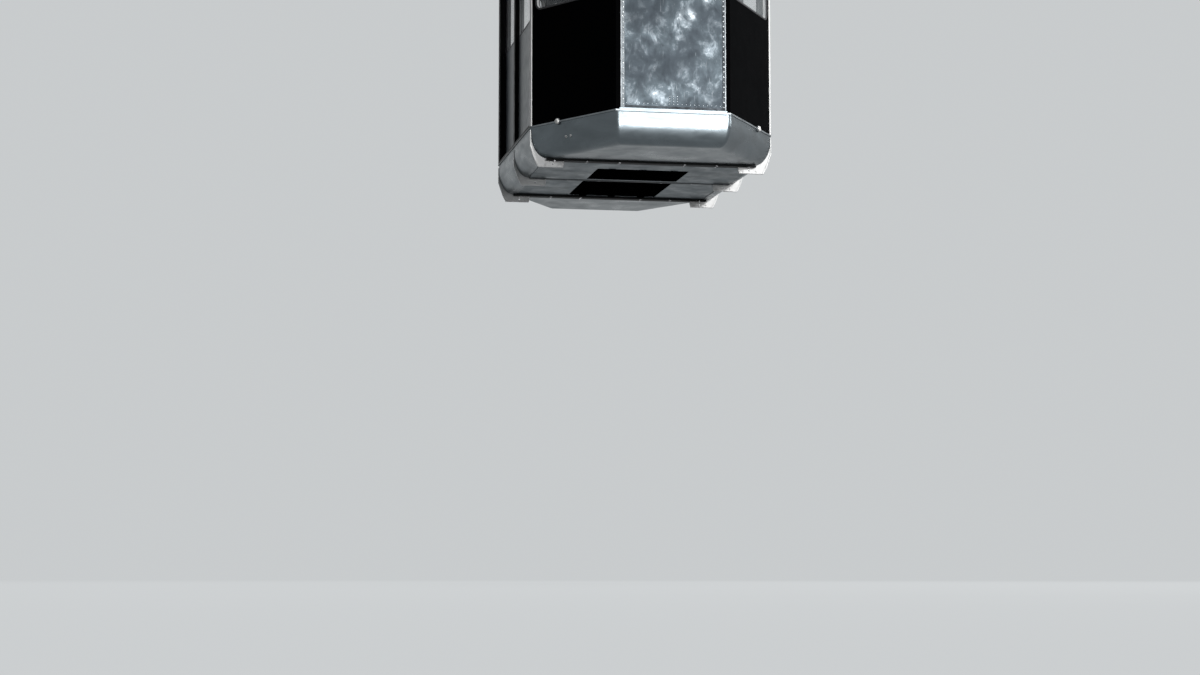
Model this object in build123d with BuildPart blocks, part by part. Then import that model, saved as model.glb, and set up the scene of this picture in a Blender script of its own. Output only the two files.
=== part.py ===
"""Aerial tramway cabin with its hanger and its eight-axle carriage.

The cabin has an eight-sided plan: two straight side walls, a flat centre facet at each
end and a slanting facet at each corner. A skirt curls in under it to three cross beams,
whose ends carry guide brackets. A cranked hanger joins the roof to a carriage that runs
on two parallel track ropes. Front is -Y, +Z is up, and the origin is the point midway
between the two rope axes, at the middle of the carriage. All sizes are in millimetres.
"""

from build123d import *
from math import atan2, cos, radians, sin, tan
import os

os.makedirs("parts", exist_ok=True)

# Clearances
SEAT_GAP = 0.3          # between a pane, lid or bracket and its seat
RUNNING_FIT = 0.06      # round a shaft in its bore, on the radius
MOVING_GAP = 6.0        # between a sliding door and what it passes

# Cabin plan and levels, heights counted from the belt line
BELT = -5240.0          # belt line below the rope axes
HALF_WIDTH = 1150.0     # outer face of the side posts
HALF_STRAIGHT = 1020.0  # half the length of the straight side wall
NOSE_HALF = 527.0       # half the width of the centre facet
NOSE_DEPTH = 950.0      # from shoulder to centre facet
WALL_TOP = 2130.0       # top of the walls, where the roof sits
END_SILL = 1100.0       # bottom of the end windows
SIDE_SILL = 1080.0      # bottom of the fixed bays' windows
DOOR_SILL = 1150.0      # bottom of the doors' windows
WINDOW_TOP = 1960.0
WINDOW_MARGIN = 72.0    # facet edge to window
WINDOW_CORNER = 65.0
SIDE_CORNER = 22.0      # corners of the side windows
PANEL_THICK = 40.0      # end wall panels
GLASS_THICK = 6.0
GLASS_INSET = 4.0       # pane behind the outer face

# Skirt section: a short upright, a large arc, then a small arc to the flat bottom
SKIN = 6.0
SKIRT_UPRIGHT = 75.0
SKIRT_ARC = 300.0
SKIRT_SMALL_ARC = 110.0
SKIRT_TURN = 35.0
SKIRT_LIP = 40.0        # flat lip along the sides, where the pans are fastened
SKIRT_ROUND = 50.0      # rounding along the mitres

# Roof section: fascia, a tight arc, then a wide arc to the flat top
ROOF_SKIN = 25.0
ROOF_EAVE = 12.0        # roof edge past the walls
ROOF_FASCIA = 30.0
ROOF_ARC = 102.0
ROOF_WIDE_ARC = 612.0
ROOF_TURN = 60.0
CEILING_THICK = 10.0
HATCH_SIZE = 600.0      # roof hatch opening
HATCH_Y = 1120.0        # its centre
COAMING_WALL = 20.0
COAMING_RISE = 25.0     # coaming above the roof
LID_THICK = 18.0
LID_LIP = 20.0

# Side frame, fixed bay panel and sliding door
FRAME_THICK = 60.0
END_POST = 60.0
MID_POST = 70.0
SILL_RAIL = 35.0        # height of the frame's bottom member
HEADER = 90.0           # height of the frame's top member
BAY_RECESS = 40.0       # fixed bay panel behind the frame's outer face
BAY_THICK = 20.0
BAY_MARGIN = 36.0       # bay edge to window
DOOR_THICK = 32.0
DOOR_LAP = 25.0         # door past the edge of its bay
DOOR_FOOT = 14.0        # door above the floor
TRACK_WALL = 5.0
TRACK_HEIGHT = 45.0
TRACK_WIDTH = 44.0
TRACK_SLOT = 16.0
TRACK_END = 20.0        # track short of the shoulders
HANGER_WIDTH = 90.0     # each door hanger along the wall
GUIDE_THICK = 8.0
GUIDE_HEIGHT = 40.0

# Trim of the cabin
BELT_RAIL_HEIGHT = 14.0
BELT_RAIL_PROUD = 8.0
MOULDING_REACH = 16.0   # corner moulding along each of its two faces
MOULDING_PROUD = 7.0
LAMP_RADIUS = 25.0
LAMP_PROUD = 30.0
LAMP_SHARE = 1 / 3      # place of a lamp along its facet, from the shoulder
CENTRE_PANEL_HALF = 485.0
CENTRE_PANEL_LOW = 24.0
CENTRE_PANEL_HIGH = 1062.0
CENTRE_PANEL_THICK = 5.0

# Floor and underframe
DECK_THICK = 40.0
BEAM_WIDTH = 90.0
BEAM_FOOT = 18.0        # thickness of a beam's bottom flange
MIDDLE_BEAM_WIDTH = 44.0    # the middle beam has a smaller bottom flange
MIDDLE_BEAM_FOOT = 12.0
BEAM_WEB = 12.0
BEAM_REACH = 1000.0     # half length of a beam's bottom flange
BRACKET_WEB = 12.0
BRACKET_RIM = 28.0      # width of the rim along the ropes
BRACKET_RIM_THICK = 8.0
BRACKET_PROUD = 5.0     # rim past the side wall
BRACKET_TOP = 30.0      # bracket levels, counted down from the belt line
BRACKET_SHOULDER = 180.0
BRACKET_KNEE = 310.0
BRACKET_FOOT = 370.0
BRACKET_KNEE_INSET = 40.0   # bracket places, counted inward from the side wall
BRACKET_TOE_INSET = 72.0
BRACKET_HEEL_INSET = 305.0
BRACKET_END_INSET = 315.0
BRACKET_HEEL_RISE = 26.0
BRACKET_HOLE = 7.0
BRACKET_HOLE_INSET = 210.0
BRACKET_HOLE_RISE = 28.0
PAN_THICK = 8.0
BAY_DOOR_HALF = 440.0   # half width of the two doors under the floor
FRONT_BAY_DOOR = (-650.0, -75.0)
REAR_BAY_DOOR = (75.0, 945.0)
BAY_DOOR_THICK = 20.0
BAY_DOOR_GAP = 5.0
BAY_HINGE_RADIUS = 5.0
HINGE_RADIUS = 8.0      # barrels of the roof lid's hinge
HINGE_KNUCKLE = 70.0
HINGE_PLACES = (-300.0, 0.0, 300.0)
HINGE_LEAF = 4.0

# Interior grab poles
POLE_RADIUS = 17.5
POLE_X = 420.0
POLE_Y = 800.0

# Carriage
ROPE_SPACING = 490.0
ROPE_RADIUS = 24.0
GROOVE_RADIUS = 150.0   # roller at the bottom of its groove
RIM_RADIUS = 172.0
ROLLER_WIDTH = 90.0
WEB_THICK = 24.0
RIM_DEPTH = 45.0        # rim ring, measured inward from the rim
ROLLER_HUB = 62.0
AXLE_RADIUS = 30.0
AXLE_CAP = 12.0
AXLE_COLLAR = 14.0      # collar between cradle and roller, on the radius
ROLLER_RIM_STEP = 10.0  # rim ring down to the web
ROLLER_HUB_STEP = 6.0   # web down to the hub
GROOVE_PLAY = 1.0       # groove's radius over the rope's
AXLE_PITCH = 430.0      # between the two axles of one cradle, and between cradles
CRADLE_RISE = 95.0      # cradle pivot above its axles
ROCKER_RISE = 130.0     # rocker pivot above the cradle pivots
HANGER_RISE = 121.0     # hanger shaft above the rocker pivots
PLATE = 16.0            # side plates of cradles, rockers and main beam
PLATE_STEP = 24.0       # from one pair of plates to the next
CRADLE_INNER = 128.0    # inner face of a cradle plate
PIN_RADIUS = 38.0
PIN_CAP = 8.0
PIN_GAP = 1.0           # between a plate and a pin's cap
AXLE_LOBE = 58.0
CRADLE_LOBE = 62.0
ROCKER_LOBES = (55.0, 70.0)     # at the cradle pivots and at the rocker pivot
BEAM_LOBES = (60.0, 120.0)      # at the rocker pivots and at the hanger shaft
SPACER_RADIUS = 20.0
SPACER_DROP = 110.0     # rocker spacers below the rocker pivot
BEAM_SPACER_Y = 533.0   # main beam spacers from the middle
BEAM_SPACER_RISE = 36.0     # and above the rocker pivots
SHAFT_RADIUS = 70.0
SHAFT_COLLAR = 20.0     # collars that hold the shaft along the bearing, on the radius
SHAFT_PLAY = 3.0        # between a collar and the bearing tube
HUB_RADIUS = 110.0
HUB_HALF = 112.0        # half length of the bearing tube
HAUL_DROP = 70.0        # haul rope below the rope axes
HAUL_ROPE_RADIUS = 12.5
SOCKET_LENGTH = 260.0
SOCKET_BORE = 195.0     # depth of the rope's bore
SOCKET_RADII = (42.0, 20.0)
DROP_HALF = 75.0        # half length of the drop bracket along the ropes
DROP_INNER = 45.0       # inner face of a drop bracket plate

# Hanger
ARM_X = -520.0          # upper part of the arm, outside the left rope
ARM_DEPTH = 180.0       # across the ropes
ARM_WEB_HALF = 80.0     # outer face of a web
ARM_FLANGE_HALF = 120.0
ARM_PLATE = 14.0
ARM_BEND = 450.0
CRANK_TOP = -900.0
CRANK_BOTTOM = -1750.0
HEAD_RADIUS = 125.0
MOUNT_X = 330.0         # rubber mounts between hanger foot and roof
MOUNT_Y = 600.0
MOUNT_RADIUS = 60.0
MOUNT_HEIGHT = 50.0
FOOT_WIDTH = 100.0
FOOT_HEIGHT = 120.0
FOOT_OVERHANG = 60.0    # long members past the mounts
STRUT_RADIUS = 32.0
STRUT_RISE = 620.0      # strut heads above the foot
LADDER_STANDOFF = 130.0 # ladder from the arm's outer flange
LADDER_HALF = 175.0     # inner face of a rail
RAIL_DEPTH = 50.0
RAIL_THICK = 10.0
RUNG_RADIUS = 12.0
RUNG_PITCH = 300.0
STEM_RADIUS = 8.0       # stems that hold the ladder off the arm
STEM_PITCH = 3          # rungs from one stem to the next
STEM_PLACE = 70.0       # stems each side of the arm's middle

# Derived places
HALF_LENGTH = HALF_STRAIGHT + NOSE_DEPTH
CORNERS = [
    (HALF_WIDTH, -HALF_STRAIGHT), (HALF_WIDTH, HALF_STRAIGHT),
    (NOSE_HALF, HALF_LENGTH), (-NOSE_HALF, HALF_LENGTH),
    (-HALF_WIDTH, HALF_STRAIGHT), (-HALF_WIDTH, -HALF_STRAIGHT),
    (-NOSE_HALF, -HALF_LENGTH), (NOSE_HALF, -HALF_LENGTH),
]
SKIRT_DROP = SKIRT_UPRIGHT + SKIRT_ARC * sin(radians(SKIRT_TURN)) \
    + SKIRT_SMALL_ARC * (1 - sin(radians(SKIRT_TURN)))
SKIRT_INSET = SKIRT_ARC * (1 - cos(radians(SKIRT_TURN))) + SKIRT_SMALL_ARC * cos(radians(SKIRT_TURN))
ROOF_RISE = ROOF_FASCIA + ROOF_ARC * sin(radians(ROOF_TURN)) \
    + ROOF_WIDE_ARC * (1 - sin(radians(ROOF_TURN)))
ROOF_TOP = BELT + WALL_TOP + ROOF_RISE + ROOF_EAVE
BEAM_PLACES = (-HALF_STRAIGHT, 0.0, HALF_STRAIGHT)
BEAM_FEET = (           # place, width and thickness of each bottom flange
    (-HALF_STRAIGHT, BEAM_WIDTH, BEAM_FOOT),
    (0.0, MIDDLE_BEAM_WIDTH, MIDDLE_BEAM_FOOT),
    (HALF_STRAIGHT, BEAM_WIDTH, BEAM_FOOT),
)
BEAM_LOW = -SKIRT_DROP - BEAM_FOOT
BAY_END = HALF_STRAIGHT - END_POST
DOOR_FACE = HALF_WIDTH - FRAME_THICK - MOVING_GAP
DOOR_MIDDLE = DOOR_FACE - DOOR_THICK / 2
DOOR_TOP = WALL_TOP - HEADER + DOOR_LAP
TRACK_LOW = DOOR_TOP + 2 * MOVING_GAP
AXLE_Z = ROPE_RADIUS + GROOVE_RADIUS
CRADLE_Z = AXLE_Z + CRADLE_RISE
ROCKER_Z = CRADLE_Z + ROCKER_RISE
SHAFT_Z = ROCKER_Z + HANGER_RISE
SPACER_Z = ROCKER_Z - SPACER_DROP
ROCKER_INNER = CRADLE_INNER - PLATE_STEP
BEAM_INNER = ROCKER_INNER - PLATE_STEP
FOOT_LOW = ROOF_TOP + MOUNT_HEIGHT
FOOT_TOP = FOOT_LOW + FOOT_HEIGHT


def save(part, name):
    """Labels a finished part and writes it to its own file."""
    part.label = name
    export_step(part, f"parts/{name}.step")


def facet_plane(index):
    """Plane on a facet's outer face: x along the wall, y up from the belt line, z outward."""
    (ax, ay), (bx, by) = CORNERS[index % 8], CORNERS[(index + 1) % 8]
    along = Vector(bx - ax, by - ay, 0).normalized()
    return Plane(
        origin=((ax + bx) / 2, (ay + by) / 2, BELT),
        x_dir=along, z_dir=(along.Y, -along.X, 0),
    )


def facet_length(index):
    (ax, ay), (bx, by) = CORNERS[index % 8], CORNERS[(index + 1) % 8]
    return ((bx - ax) ** 2 + (by - ay) ** 2) ** 0.5


def plan_points(grow):
    """Corners of the cabin's plan, moved outward by a distance from every facet."""
    points = []
    for index in range(8):
        across = facet_plane(index - 1).z_dir + facet_plane(index).z_dir
        move = across * (2 * grow / across.dot(across))
        points.append((CORNERS[index][0] + move.X, CORNERS[index][1] + move.Y))
    return points


def facet_prism(index, depth, low, high):
    """Upright wall over one facet, mitred to its neighbours; its inner face is at a depth."""
    outer, inner = plan_points(0), plan_points(-depth)
    after = (index + 1) % 8
    with BuildSketch(Plane.XY.offset(BELT + low)) as plan:
        Polygon(outer[index], outer[after], inner[after], inner[index], align=None)
    extrude(plan.sketch, amount=high - low)


def side_face(turn, outer):
    """Upright plane beside the wall; local x runs along it and -x is the door's end."""
    return Plane(origin=(turn * outer, 0, BELT), x_dir=(0, turn, 0), z_dir=(turn, 0, 0))


def side_section(turn, at=0):
    """Plane across the cabin; local x points out through the wall and local y is up."""
    return Plane(origin=(0, at, BELT), x_dir=(turn, 0, 0), z_dir=(0, -turn, 0))


def curled_section(reach, upright, arc, small_arc, turn, sign, close_at):
    """Closed section of a body that curls in at its edge: down for sign -1, up for sign 1."""
    a = radians(turn)
    foot_x, foot_z = reach - arc + arc * cos(a), upright + arc * sin(a)
    centre_x, centre_z = foot_x - small_arc * cos(a), foot_z - small_arc * sin(a)
    end_z = centre_z + small_arc
    with BuildLine() as outline:
        Line((0, close_at), (reach, close_at))
        Line((reach, close_at), (reach, sign * upright))
        CenterArc((reach - arc, sign * upright), arc, 0, sign * turn)
        CenterArc((centre_x, sign * centre_z), small_arc, sign * turn, sign * (90 - turn))
        Line((centre_x, sign * end_z), (0, sign * end_z))
        mirror(about=Plane.YZ)
    make_face(outline.edges())


def curled_block(level, inset, shape, close_at, rounding, mode=Mode.ADD):
    """Eight-sided block whose facets all share one curled section, mitred at the corners."""
    upright, arc, small_arc, turn, sign = shape
    with BuildPart(mode=Mode.PRIVATE) as block:
        for index in range(4):
            plane = facet_plane(index)
            reach = (plane.origin - Vector(0, 0, BELT)).dot(plane.z_dir) - inset
            with BuildSketch(Plane(origin=(0, 0, level), x_dir=plane.z_dir, z_dir=-plane.x_dir)):
                curled_section(reach, upright, arc - inset, small_arc - inset, turn, sign, close_at)
            extrude(amount=2 * HALF_LENGTH, both=True, mode=Mode.INTERSECT if index else Mode.ADD)
        if rounding:
            mitres = [edge for edge in block.edges() if abs((edge @ 0).Z - (edge @ 1).Z) > SEAT_GAP]
            fillet(mitres, rounding)
    add(block.part, mode=mode)


def skirt_block(inset, close_at, mode=Mode.ADD):
    shape = (SKIRT_UPRIGHT, SKIRT_ARC, SKIRT_SMALL_ARC, SKIRT_TURN, -1)
    curled_block(BELT, inset, shape, close_at, SKIRT_ROUND - inset, mode)


def roof_block(inset, close_at, mode=Mode.ADD):
    shape = (ROOF_FASCIA, ROOF_ARC, ROOF_WIDE_ARC, ROOF_TURN, 1)
    curled_block(BELT + WALL_TOP, inset - ROOF_EAVE, shape, close_at, 0, mode)


def window(width, low, corner, shrink=0.0, mode=Mode.ADD):
    """Rounded window outline on a wall plane, smaller by a clearance all round."""
    with Locations((0, (low + WINDOW_TOP) / 2)):
        RectangleRounded(width - 2 * shrink, WINDOW_TOP - low - 2 * shrink, corner - shrink, mode=mode)


def x_cylinder(radius, low, high, y, z, mode=Mode.ADD):
    """Round bar or bore across the ropes, between two values of X."""
    with BuildSketch(Plane(origin=(low, y, z), x_dir=(0, 1, 0), z_dir=(1, 0, 0))) as section:
        Circle(radius)
    extrude(section.sketch, amount=high - low, mode=mode)


def lobed_plates(inner, lobes):
    """Pair of side plates, each the hull of round lobes given as (y, z, radius)."""
    for face in (inner, -inner - PLATE):
        with BuildSketch(Plane(origin=(face, 0, 0), x_dir=(0, 1, 0), z_dir=(1, 0, 0))) as plate:
            for y, z, radius in lobes:
                with Locations((y, z)):
                    Circle(radius)
            make_hull()
        extrude(plate.sketch, amount=PLATE)


# Skirts: one shell, split at the shoulders, with slots for the webs of the cross beams
SKIRT_SIDE = SKIRT_INSET + SKIRT_LIP
for name, centre, size in (
    ("skirt_front", (0, -HALF_STRAIGHT - NOSE_DEPTH), (4 * HALF_WIDTH, 2 * NOSE_DEPTH)),
    ("skirt_rear", (0, HALF_STRAIGHT + NOSE_DEPTH), (4 * HALF_WIDTH, 2 * NOSE_DEPTH)),
    ("skirt_left", (-HALF_WIDTH, 0), (2 * SKIRT_SIDE, 2 * HALF_STRAIGHT)),
    ("skirt_right", (HALF_WIDTH, 0), (2 * SKIRT_SIDE, 2 * HALF_STRAIGHT)),
):
    with BuildPart() as skirt:
        skirt_block(0, 0)
        skirt_block(SKIN, 1, mode=Mode.SUBTRACT)
        with Locations((*centre, BELT)):
            Box(*size, 4 * SKIRT_DROP, mode=Mode.INTERSECT)
        with Locations(*[(0, y, BELT - SKIRT_DROP) for y in BEAM_PLACES]):
            Box(2 * BEAM_REACH, BEAM_WEB + 2 * SEAT_GAP, 4 * SKIN, mode=Mode.SUBTRACT)
    save(skirt.part, name)

# Cross beams: I sections under the floor, their bottom flange outside the skirts
with BuildPart() as cross_beams:
    for y in BEAM_PLACES:
        with BuildSketch(Plane(origin=(0, y, BELT), x_dir=(0, 1, 0), z_dir=(1, 0, 0))):
            with Locations((0, (-SKIRT_DROP - DECK_THICK) / 2)):
                Rectangle(BEAM_WEB, SKIRT_DROP - DECK_THICK)
            with Locations((0, -DECK_THICK - BEAM_WEB / 2)):
                Rectangle(BEAM_WIDTH, BEAM_WEB)
        extrude(amount=HALF_WIDTH, both=True)
    skirt_block(SKIN + SEAT_GAP, 1, mode=Mode.INTERSECT)
    with Locations(*[(0, y, BELT - SKIRT_DROP + SKIN / 2) for y in BEAM_PLACES]):
        Box(2 * BEAM_REACH - 2 * SEAT_GAP, BEAM_WEB, 2 * SKIN)
    for y, width, foot in BEAM_FEET:
        with Locations((0, y, BELT - SKIRT_DROP - foot / 2)):
            Box(2 * BEAM_REACH, width, foot)
save(cross_beams.part, "cross_beams")

# Guide brackets: a web across the cabin with a rim round its outer edge
BRACKET_END = HALF_WIDTH - BRACKET_END_INSET
BRACKET_OUTLINE = [
    (HALF_WIDTH + BRACKET_PROUD, -BRACKET_TOP),
    (HALF_WIDTH + BRACKET_PROUD, -BRACKET_SHOULDER),
    (HALF_WIDTH - BRACKET_KNEE_INSET, -BRACKET_KNEE),
    (HALF_WIDTH - BRACKET_TOE_INSET, -BRACKET_FOOT),
    (HALF_WIDTH - BRACKET_HEEL_INSET, -BRACKET_FOOT),
    (BRACKET_END, BEAM_LOW - BRACKET_HEEL_RISE),
    (BRACKET_END, -BRACKET_TOP),
]
with BuildPart() as guide_brackets:
    for turn in (1, -1):
        for y in BEAM_PLACES:
            with BuildSketch(side_section(turn, y)):
                Polygon(*BRACKET_OUTLINE, align=None)
                with Locations((HALF_WIDTH - BRACKET_HOLE_INSET, BRACKET_HOLE_RISE - BRACKET_FOOT)):
                    Circle(BRACKET_HOLE, mode=Mode.SUBTRACT)
            extrude(amount=BRACKET_WEB / 2, both=True)
            with BuildSketch(side_section(turn, y)):
                Polygon(*BRACKET_OUTLINE, align=None)
                Polygon(*[(x - BRACKET_RIM_THICK, z + BRACKET_RIM_THICK) for x, z in BRACKET_OUTLINE[:4]],
                        (0, BRACKET_RIM_THICK - BRACKET_FOOT), (0, 0),
                        align=None, mode=Mode.SUBTRACT)
            extrude(amount=BRACKET_RIM / 2, both=True)
    skirt_block(-SEAT_GAP, 1, mode=Mode.SUBTRACT)
    for y, width, foot in BEAM_FEET:
        with Locations((0, y, BELT - SKIRT_DROP)):
            Box(2 * BEAM_REACH, width, 2 * foot, mode=Mode.SUBTRACT)
save(guide_brackets.part, "guide_brackets")

# Pans between the beams; the front pan hangs under the skirt lips, the rear one lies on them
BAYS = ((FRONT_BAY_DOOR, -SKIRT_DROP - PAN_THICK), (REAR_BAY_DOOR, -SKIRT_DROP + SKIN))
with BuildPart() as floor_pans:
    for (low_y, high_y), level in BAYS:
        sign = 1 if low_y > 0 else -1
        hanging = level < -SKIRT_DROP
        pan_near = (MIDDLE_BEAM_WIDTH if hanging else BEAM_WEB) / 2 + SEAT_GAP
        pan_far = HALF_STRAIGHT - (BEAM_WIDTH if hanging else BEAM_WEB) / 2 - SEAT_GAP
        with BuildSketch(Plane.XY.offset(BELT + level)):
            with Locations((0, sign * (pan_near + pan_far) / 2)):
                Rectangle(2 * (HALF_WIDTH - SKIRT_INSET - SEAT_GAP), pan_far - pan_near)
            Polygon(*plan_points(-SKIRT_INSET - SEAT_GAP), align=None, mode=Mode.INTERSECT)
            with Locations((0, (low_y + high_y) / 2)):
                Rectangle(2 * BAY_DOOR_HALF + 2 * BAY_DOOR_GAP, high_y - low_y + 2 * BAY_DOOR_GAP,
                          mode=Mode.SUBTRACT)
        extrude(amount=PAN_THICK)
save(floor_pans.part, "floor_pans")

# Doors of the two equipment bays under the floor, each with its hinge barrel
for name, ((low_y, high_y), level), hinge_y in (
    ("bay_door_front", BAYS[0], FRONT_BAY_DOOR[0]),
    ("bay_door_rear", BAYS[1], REAR_BAY_DOOR[1]),
):
    with BuildPart() as bay_door:
        with BuildSketch(Plane.XY.offset(BELT + level)):
            with Locations((0, (low_y + high_y) / 2)):
                Rectangle(2 * BAY_DOOR_HALF, high_y - low_y)
        extrude(amount=BAY_DOOR_THICK)
        inward = 1 if hinge_y == low_y else -1
        barrel_y = hinge_y - inward * BAY_DOOR_GAP / 2
        barrel_z = BELT + level - BAY_HINGE_RADIUS - SEAT_GAP
        leaf_y, leaf_z = hinge_y + inward * 2 * BAY_HINGE_RADIUS, BELT + level - HINGE_LEAF / 2
        with Locations(*[(x, leaf_y, leaf_z) for x in HINGE_PLACES]):
            Box(HINGE_KNUCKLE, 4 * BAY_HINGE_RADIUS, HINGE_LEAF)
        for x in HINGE_PLACES:
            x_cylinder(BAY_HINGE_RADIUS, x - HINGE_KNUCKLE / 2, x + HINGE_KNUCKLE / 2, barrel_y, barrel_z)
    save(bay_door.part, name)

# Floor deck
with BuildPart() as floor_deck:
    with BuildSketch(Plane.XY.offset(BELT - DECK_THICK)) as deck_plan:
        Polygon(*plan_points(-SKIN), align=None)
        fillet(deck_plan.vertices(), SKIRT_ROUND - SKIN)
    extrude(amount=DECK_THICK)
save(floor_deck.part, "floor_deck")

# End wall panels, each a whole facet with its window cut
END_FACETS = {
    "end_rear_right": 1, "end_rear_centre": 2, "end_rear_left": 3,
    "end_front_left": 5, "end_front_centre": 6, "end_front_right": 7,
}
for name, index in END_FACETS.items():
    with BuildPart() as end_panel:
        facet_prism(index, PANEL_THICK, 0, WALL_TOP)
        with BuildSketch(facet_plane(index)):
            window(facet_length(index) - 2 * WINDOW_MARGIN, END_SILL, WINDOW_CORNER)
        extrude(amount=3 * PANEL_THICK, both=True, mode=Mode.SUBTRACT)
    save(end_panel.part, name)

# Panes of the two ends
for name, facets in (("panes_front", (5, 6, 7)), ("panes_rear", (1, 2, 3))):
    with BuildPart() as panes:
        for index in facets:
            with BuildSketch(facet_plane(index).offset(-GLASS_INSET - GLASS_THICK)):
                window(facet_length(index) - 2 * WINDOW_MARGIN, END_SILL, WINDOW_CORNER, SEAT_GAP)
            extrude(amount=GLASS_THICK)
    save(panes.part, name)

# Plates on the centre facets
with BuildPart() as centre_panels:
    for index in (2, 6):
        with BuildSketch(facet_plane(index)):
            with Locations((0, (CENTRE_PANEL_LOW + CENTRE_PANEL_HIGH) / 2)):
                Rectangle(2 * CENTRE_PANEL_HALF, CENTRE_PANEL_HIGH - CENTRE_PANEL_LOW)
        extrude(amount=CENTRE_PANEL_THICK)
save(centre_panels.part, "centre_panels")

# Belt rail round the cabin, with seats for the marker lamps
LAMP_FACETS = ((7, 1), (5, -1), (1, -1), (3, 1))    # facet, and the way to its shoulder


def lamp_place(index, way):
    length = facet_length(index)
    return (way * length * (0.5 - LAMP_SHARE), 0)


with BuildPart() as belt_rail:
    with BuildSketch(Plane.XY.offset(BELT - BELT_RAIL_HEIGHT / 2)):
        Polygon(*plan_points(BELT_RAIL_PROUD), align=None)
        Polygon(*plan_points(0), align=None, mode=Mode.SUBTRACT)
    extrude(amount=BELT_RAIL_HEIGHT)
    for index, way in LAMP_FACETS:
        with BuildSketch(facet_plane(index)):
            with Locations(lamp_place(index, way)):
                Circle(LAMP_RADIUS + SEAT_GAP)
        extrude(amount=2 * BELT_RAIL_PROUD, mode=Mode.SUBTRACT)
save(belt_rail.part, "belt_rail")

with BuildPart() as marker_lamps:
    for index, way in LAMP_FACETS:
        with BuildSketch(facet_plane(index)):
            with Locations(lamp_place(index, way)):
                Circle(LAMP_RADIUS)
        extrude(amount=LAMP_PROUD)
        outward = Axis(facet_plane(index).origin, facet_plane(index).z_dir)
        fillet(marker_lamps.faces().sort_by(outward)[-1].edges(), LAMP_RADIUS / 2)
save(marker_lamps.part, "marker_lamps")

# Corner mouldings at the four shoulders
with BuildPart() as corner_mouldings:
    with BuildSketch(Plane.XY.offset(BELT + BELT_RAIL_HEIGHT / 2)):
        Polygon(*plan_points(MOULDING_PROUD), align=None)
        Polygon(*plan_points(0), align=None, mode=Mode.SUBTRACT)
        with Locations(*[CORNERS[index] for index in (0, 1, 4, 5)]):
            Rectangle(4 * MOULDING_PROUD, 2 * MOULDING_REACH, mode=Mode.INTERSECT)
    extrude(amount=WALL_TOP - BELT_RAIL_HEIGHT / 2)
save(corner_mouldings.part, "corner_mouldings")

# Side frames, each with a door bay and a fixed bay, then the fixed bay's panel and pane
BAY_MIDDLE = (MID_POST / 2 + BAY_END) / 2
BAY_WIDTH = BAY_END - MID_POST / 2
SIDE_WINDOW = BAY_WIDTH - 2 * BAY_MARGIN
BAY_LOW, BAY_HIGH = SILL_RAIL, WALL_TOP - HEADER
DOOR_HANGERS = [-BAY_MIDDLE - BAY_WIDTH / 3, -BAY_MIDDLE + BAY_WIDTH / 3]
for side, turn in (("right", 1), ("left", -1)):
    with BuildPart() as side_frame:
        facet_prism(0 if turn == 1 else 4, FRAME_THICK, 0, WALL_TOP)
        with BuildSketch(side_face(turn, HALF_WIDTH)):
            with Locations((-BAY_MIDDLE, (BAY_LOW + BAY_HIGH) / 2), (BAY_MIDDLE, (BAY_LOW + BAY_HIGH) / 2)):
                Rectangle(BAY_WIDTH, BAY_HIGH - BAY_LOW)
        extrude(amount=-FRAME_THICK, mode=Mode.SUBTRACT)
    save(side_frame.part, f"side_frame_{side}")

    with BuildPart() as bay_panel:
        with BuildSketch(side_face(turn, HALF_WIDTH - BAY_RECESS)):
            with Locations((BAY_MIDDLE, (BAY_LOW + BAY_HIGH) / 2)):
                Rectangle(BAY_WIDTH, BAY_HIGH - BAY_LOW)
            with Locations((BAY_MIDDLE, 0)):
                window(SIDE_WINDOW, SIDE_SILL, SIDE_CORNER, mode=Mode.SUBTRACT)
        extrude(amount=-BAY_THICK)
    save(bay_panel.part, f"bay_panel_{side}")

    with BuildPart() as door:
        with BuildSketch(side_face(turn, DOOR_FACE)):
            with Locations((-BAY_MIDDLE, (DOOR_FOOT + DOOR_TOP) / 2)):
                Rectangle(BAY_WIDTH + 2 * DOOR_LAP, DOOR_TOP - DOOR_FOOT)
            with Locations((-BAY_MIDDLE, 0)):
                window(SIDE_WINDOW, DOOR_SILL, SIDE_CORNER, mode=Mode.SUBTRACT)
        extrude(amount=-DOOR_THICK)
        with BuildSketch(Plane.XY.offset(BELT + DOOR_TOP)):
            with Locations(*[(turn * DOOR_MIDDLE, turn * y) for y in DOOR_HANGERS]):
                Rectangle(TRACK_SLOT / 2, HANGER_WIDTH)
        extrude(amount=TRACK_LOW - DOOR_TOP + TRACK_WALL + SEAT_GAP)
        with BuildSketch(Plane.XY.offset(BELT + TRACK_LOW + TRACK_WALL + SEAT_GAP)):
            with Locations(*[(turn * DOOR_MIDDLE, turn * y) for y in DOOR_HANGERS]):
                Rectangle(TRACK_WIDTH - 2 * TRACK_WALL - MOVING_GAP, HANGER_WIDTH)
        extrude(amount=TRACK_HEIGHT - 2 * TRACK_WALL - 2 * MOVING_GAP)
    save(door.part, f"door_{side}")

    with BuildPart() as door_pane:
        with BuildSketch(side_face(turn, DOOR_FACE - GLASS_INSET)):
            with Locations((-BAY_MIDDLE, 0)):
                window(SIDE_WINDOW, DOOR_SILL, SIDE_CORNER, SEAT_GAP)
        extrude(amount=-GLASS_THICK)
    save(door_pane.part, f"door_pane_{side}")

with BuildPart() as bay_panes:
    for turn in (1, -1):
        with BuildSketch(side_face(turn, HALF_WIDTH - BAY_RECESS - GLASS_INSET)):
            with Locations((BAY_MIDDLE, 0)):
                window(SIDE_WINDOW, SIDE_SILL, SIDE_CORNER, SEAT_GAP)
        extrude(amount=-GLASS_THICK)
save(bay_panes.part, "bay_panes")

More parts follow.
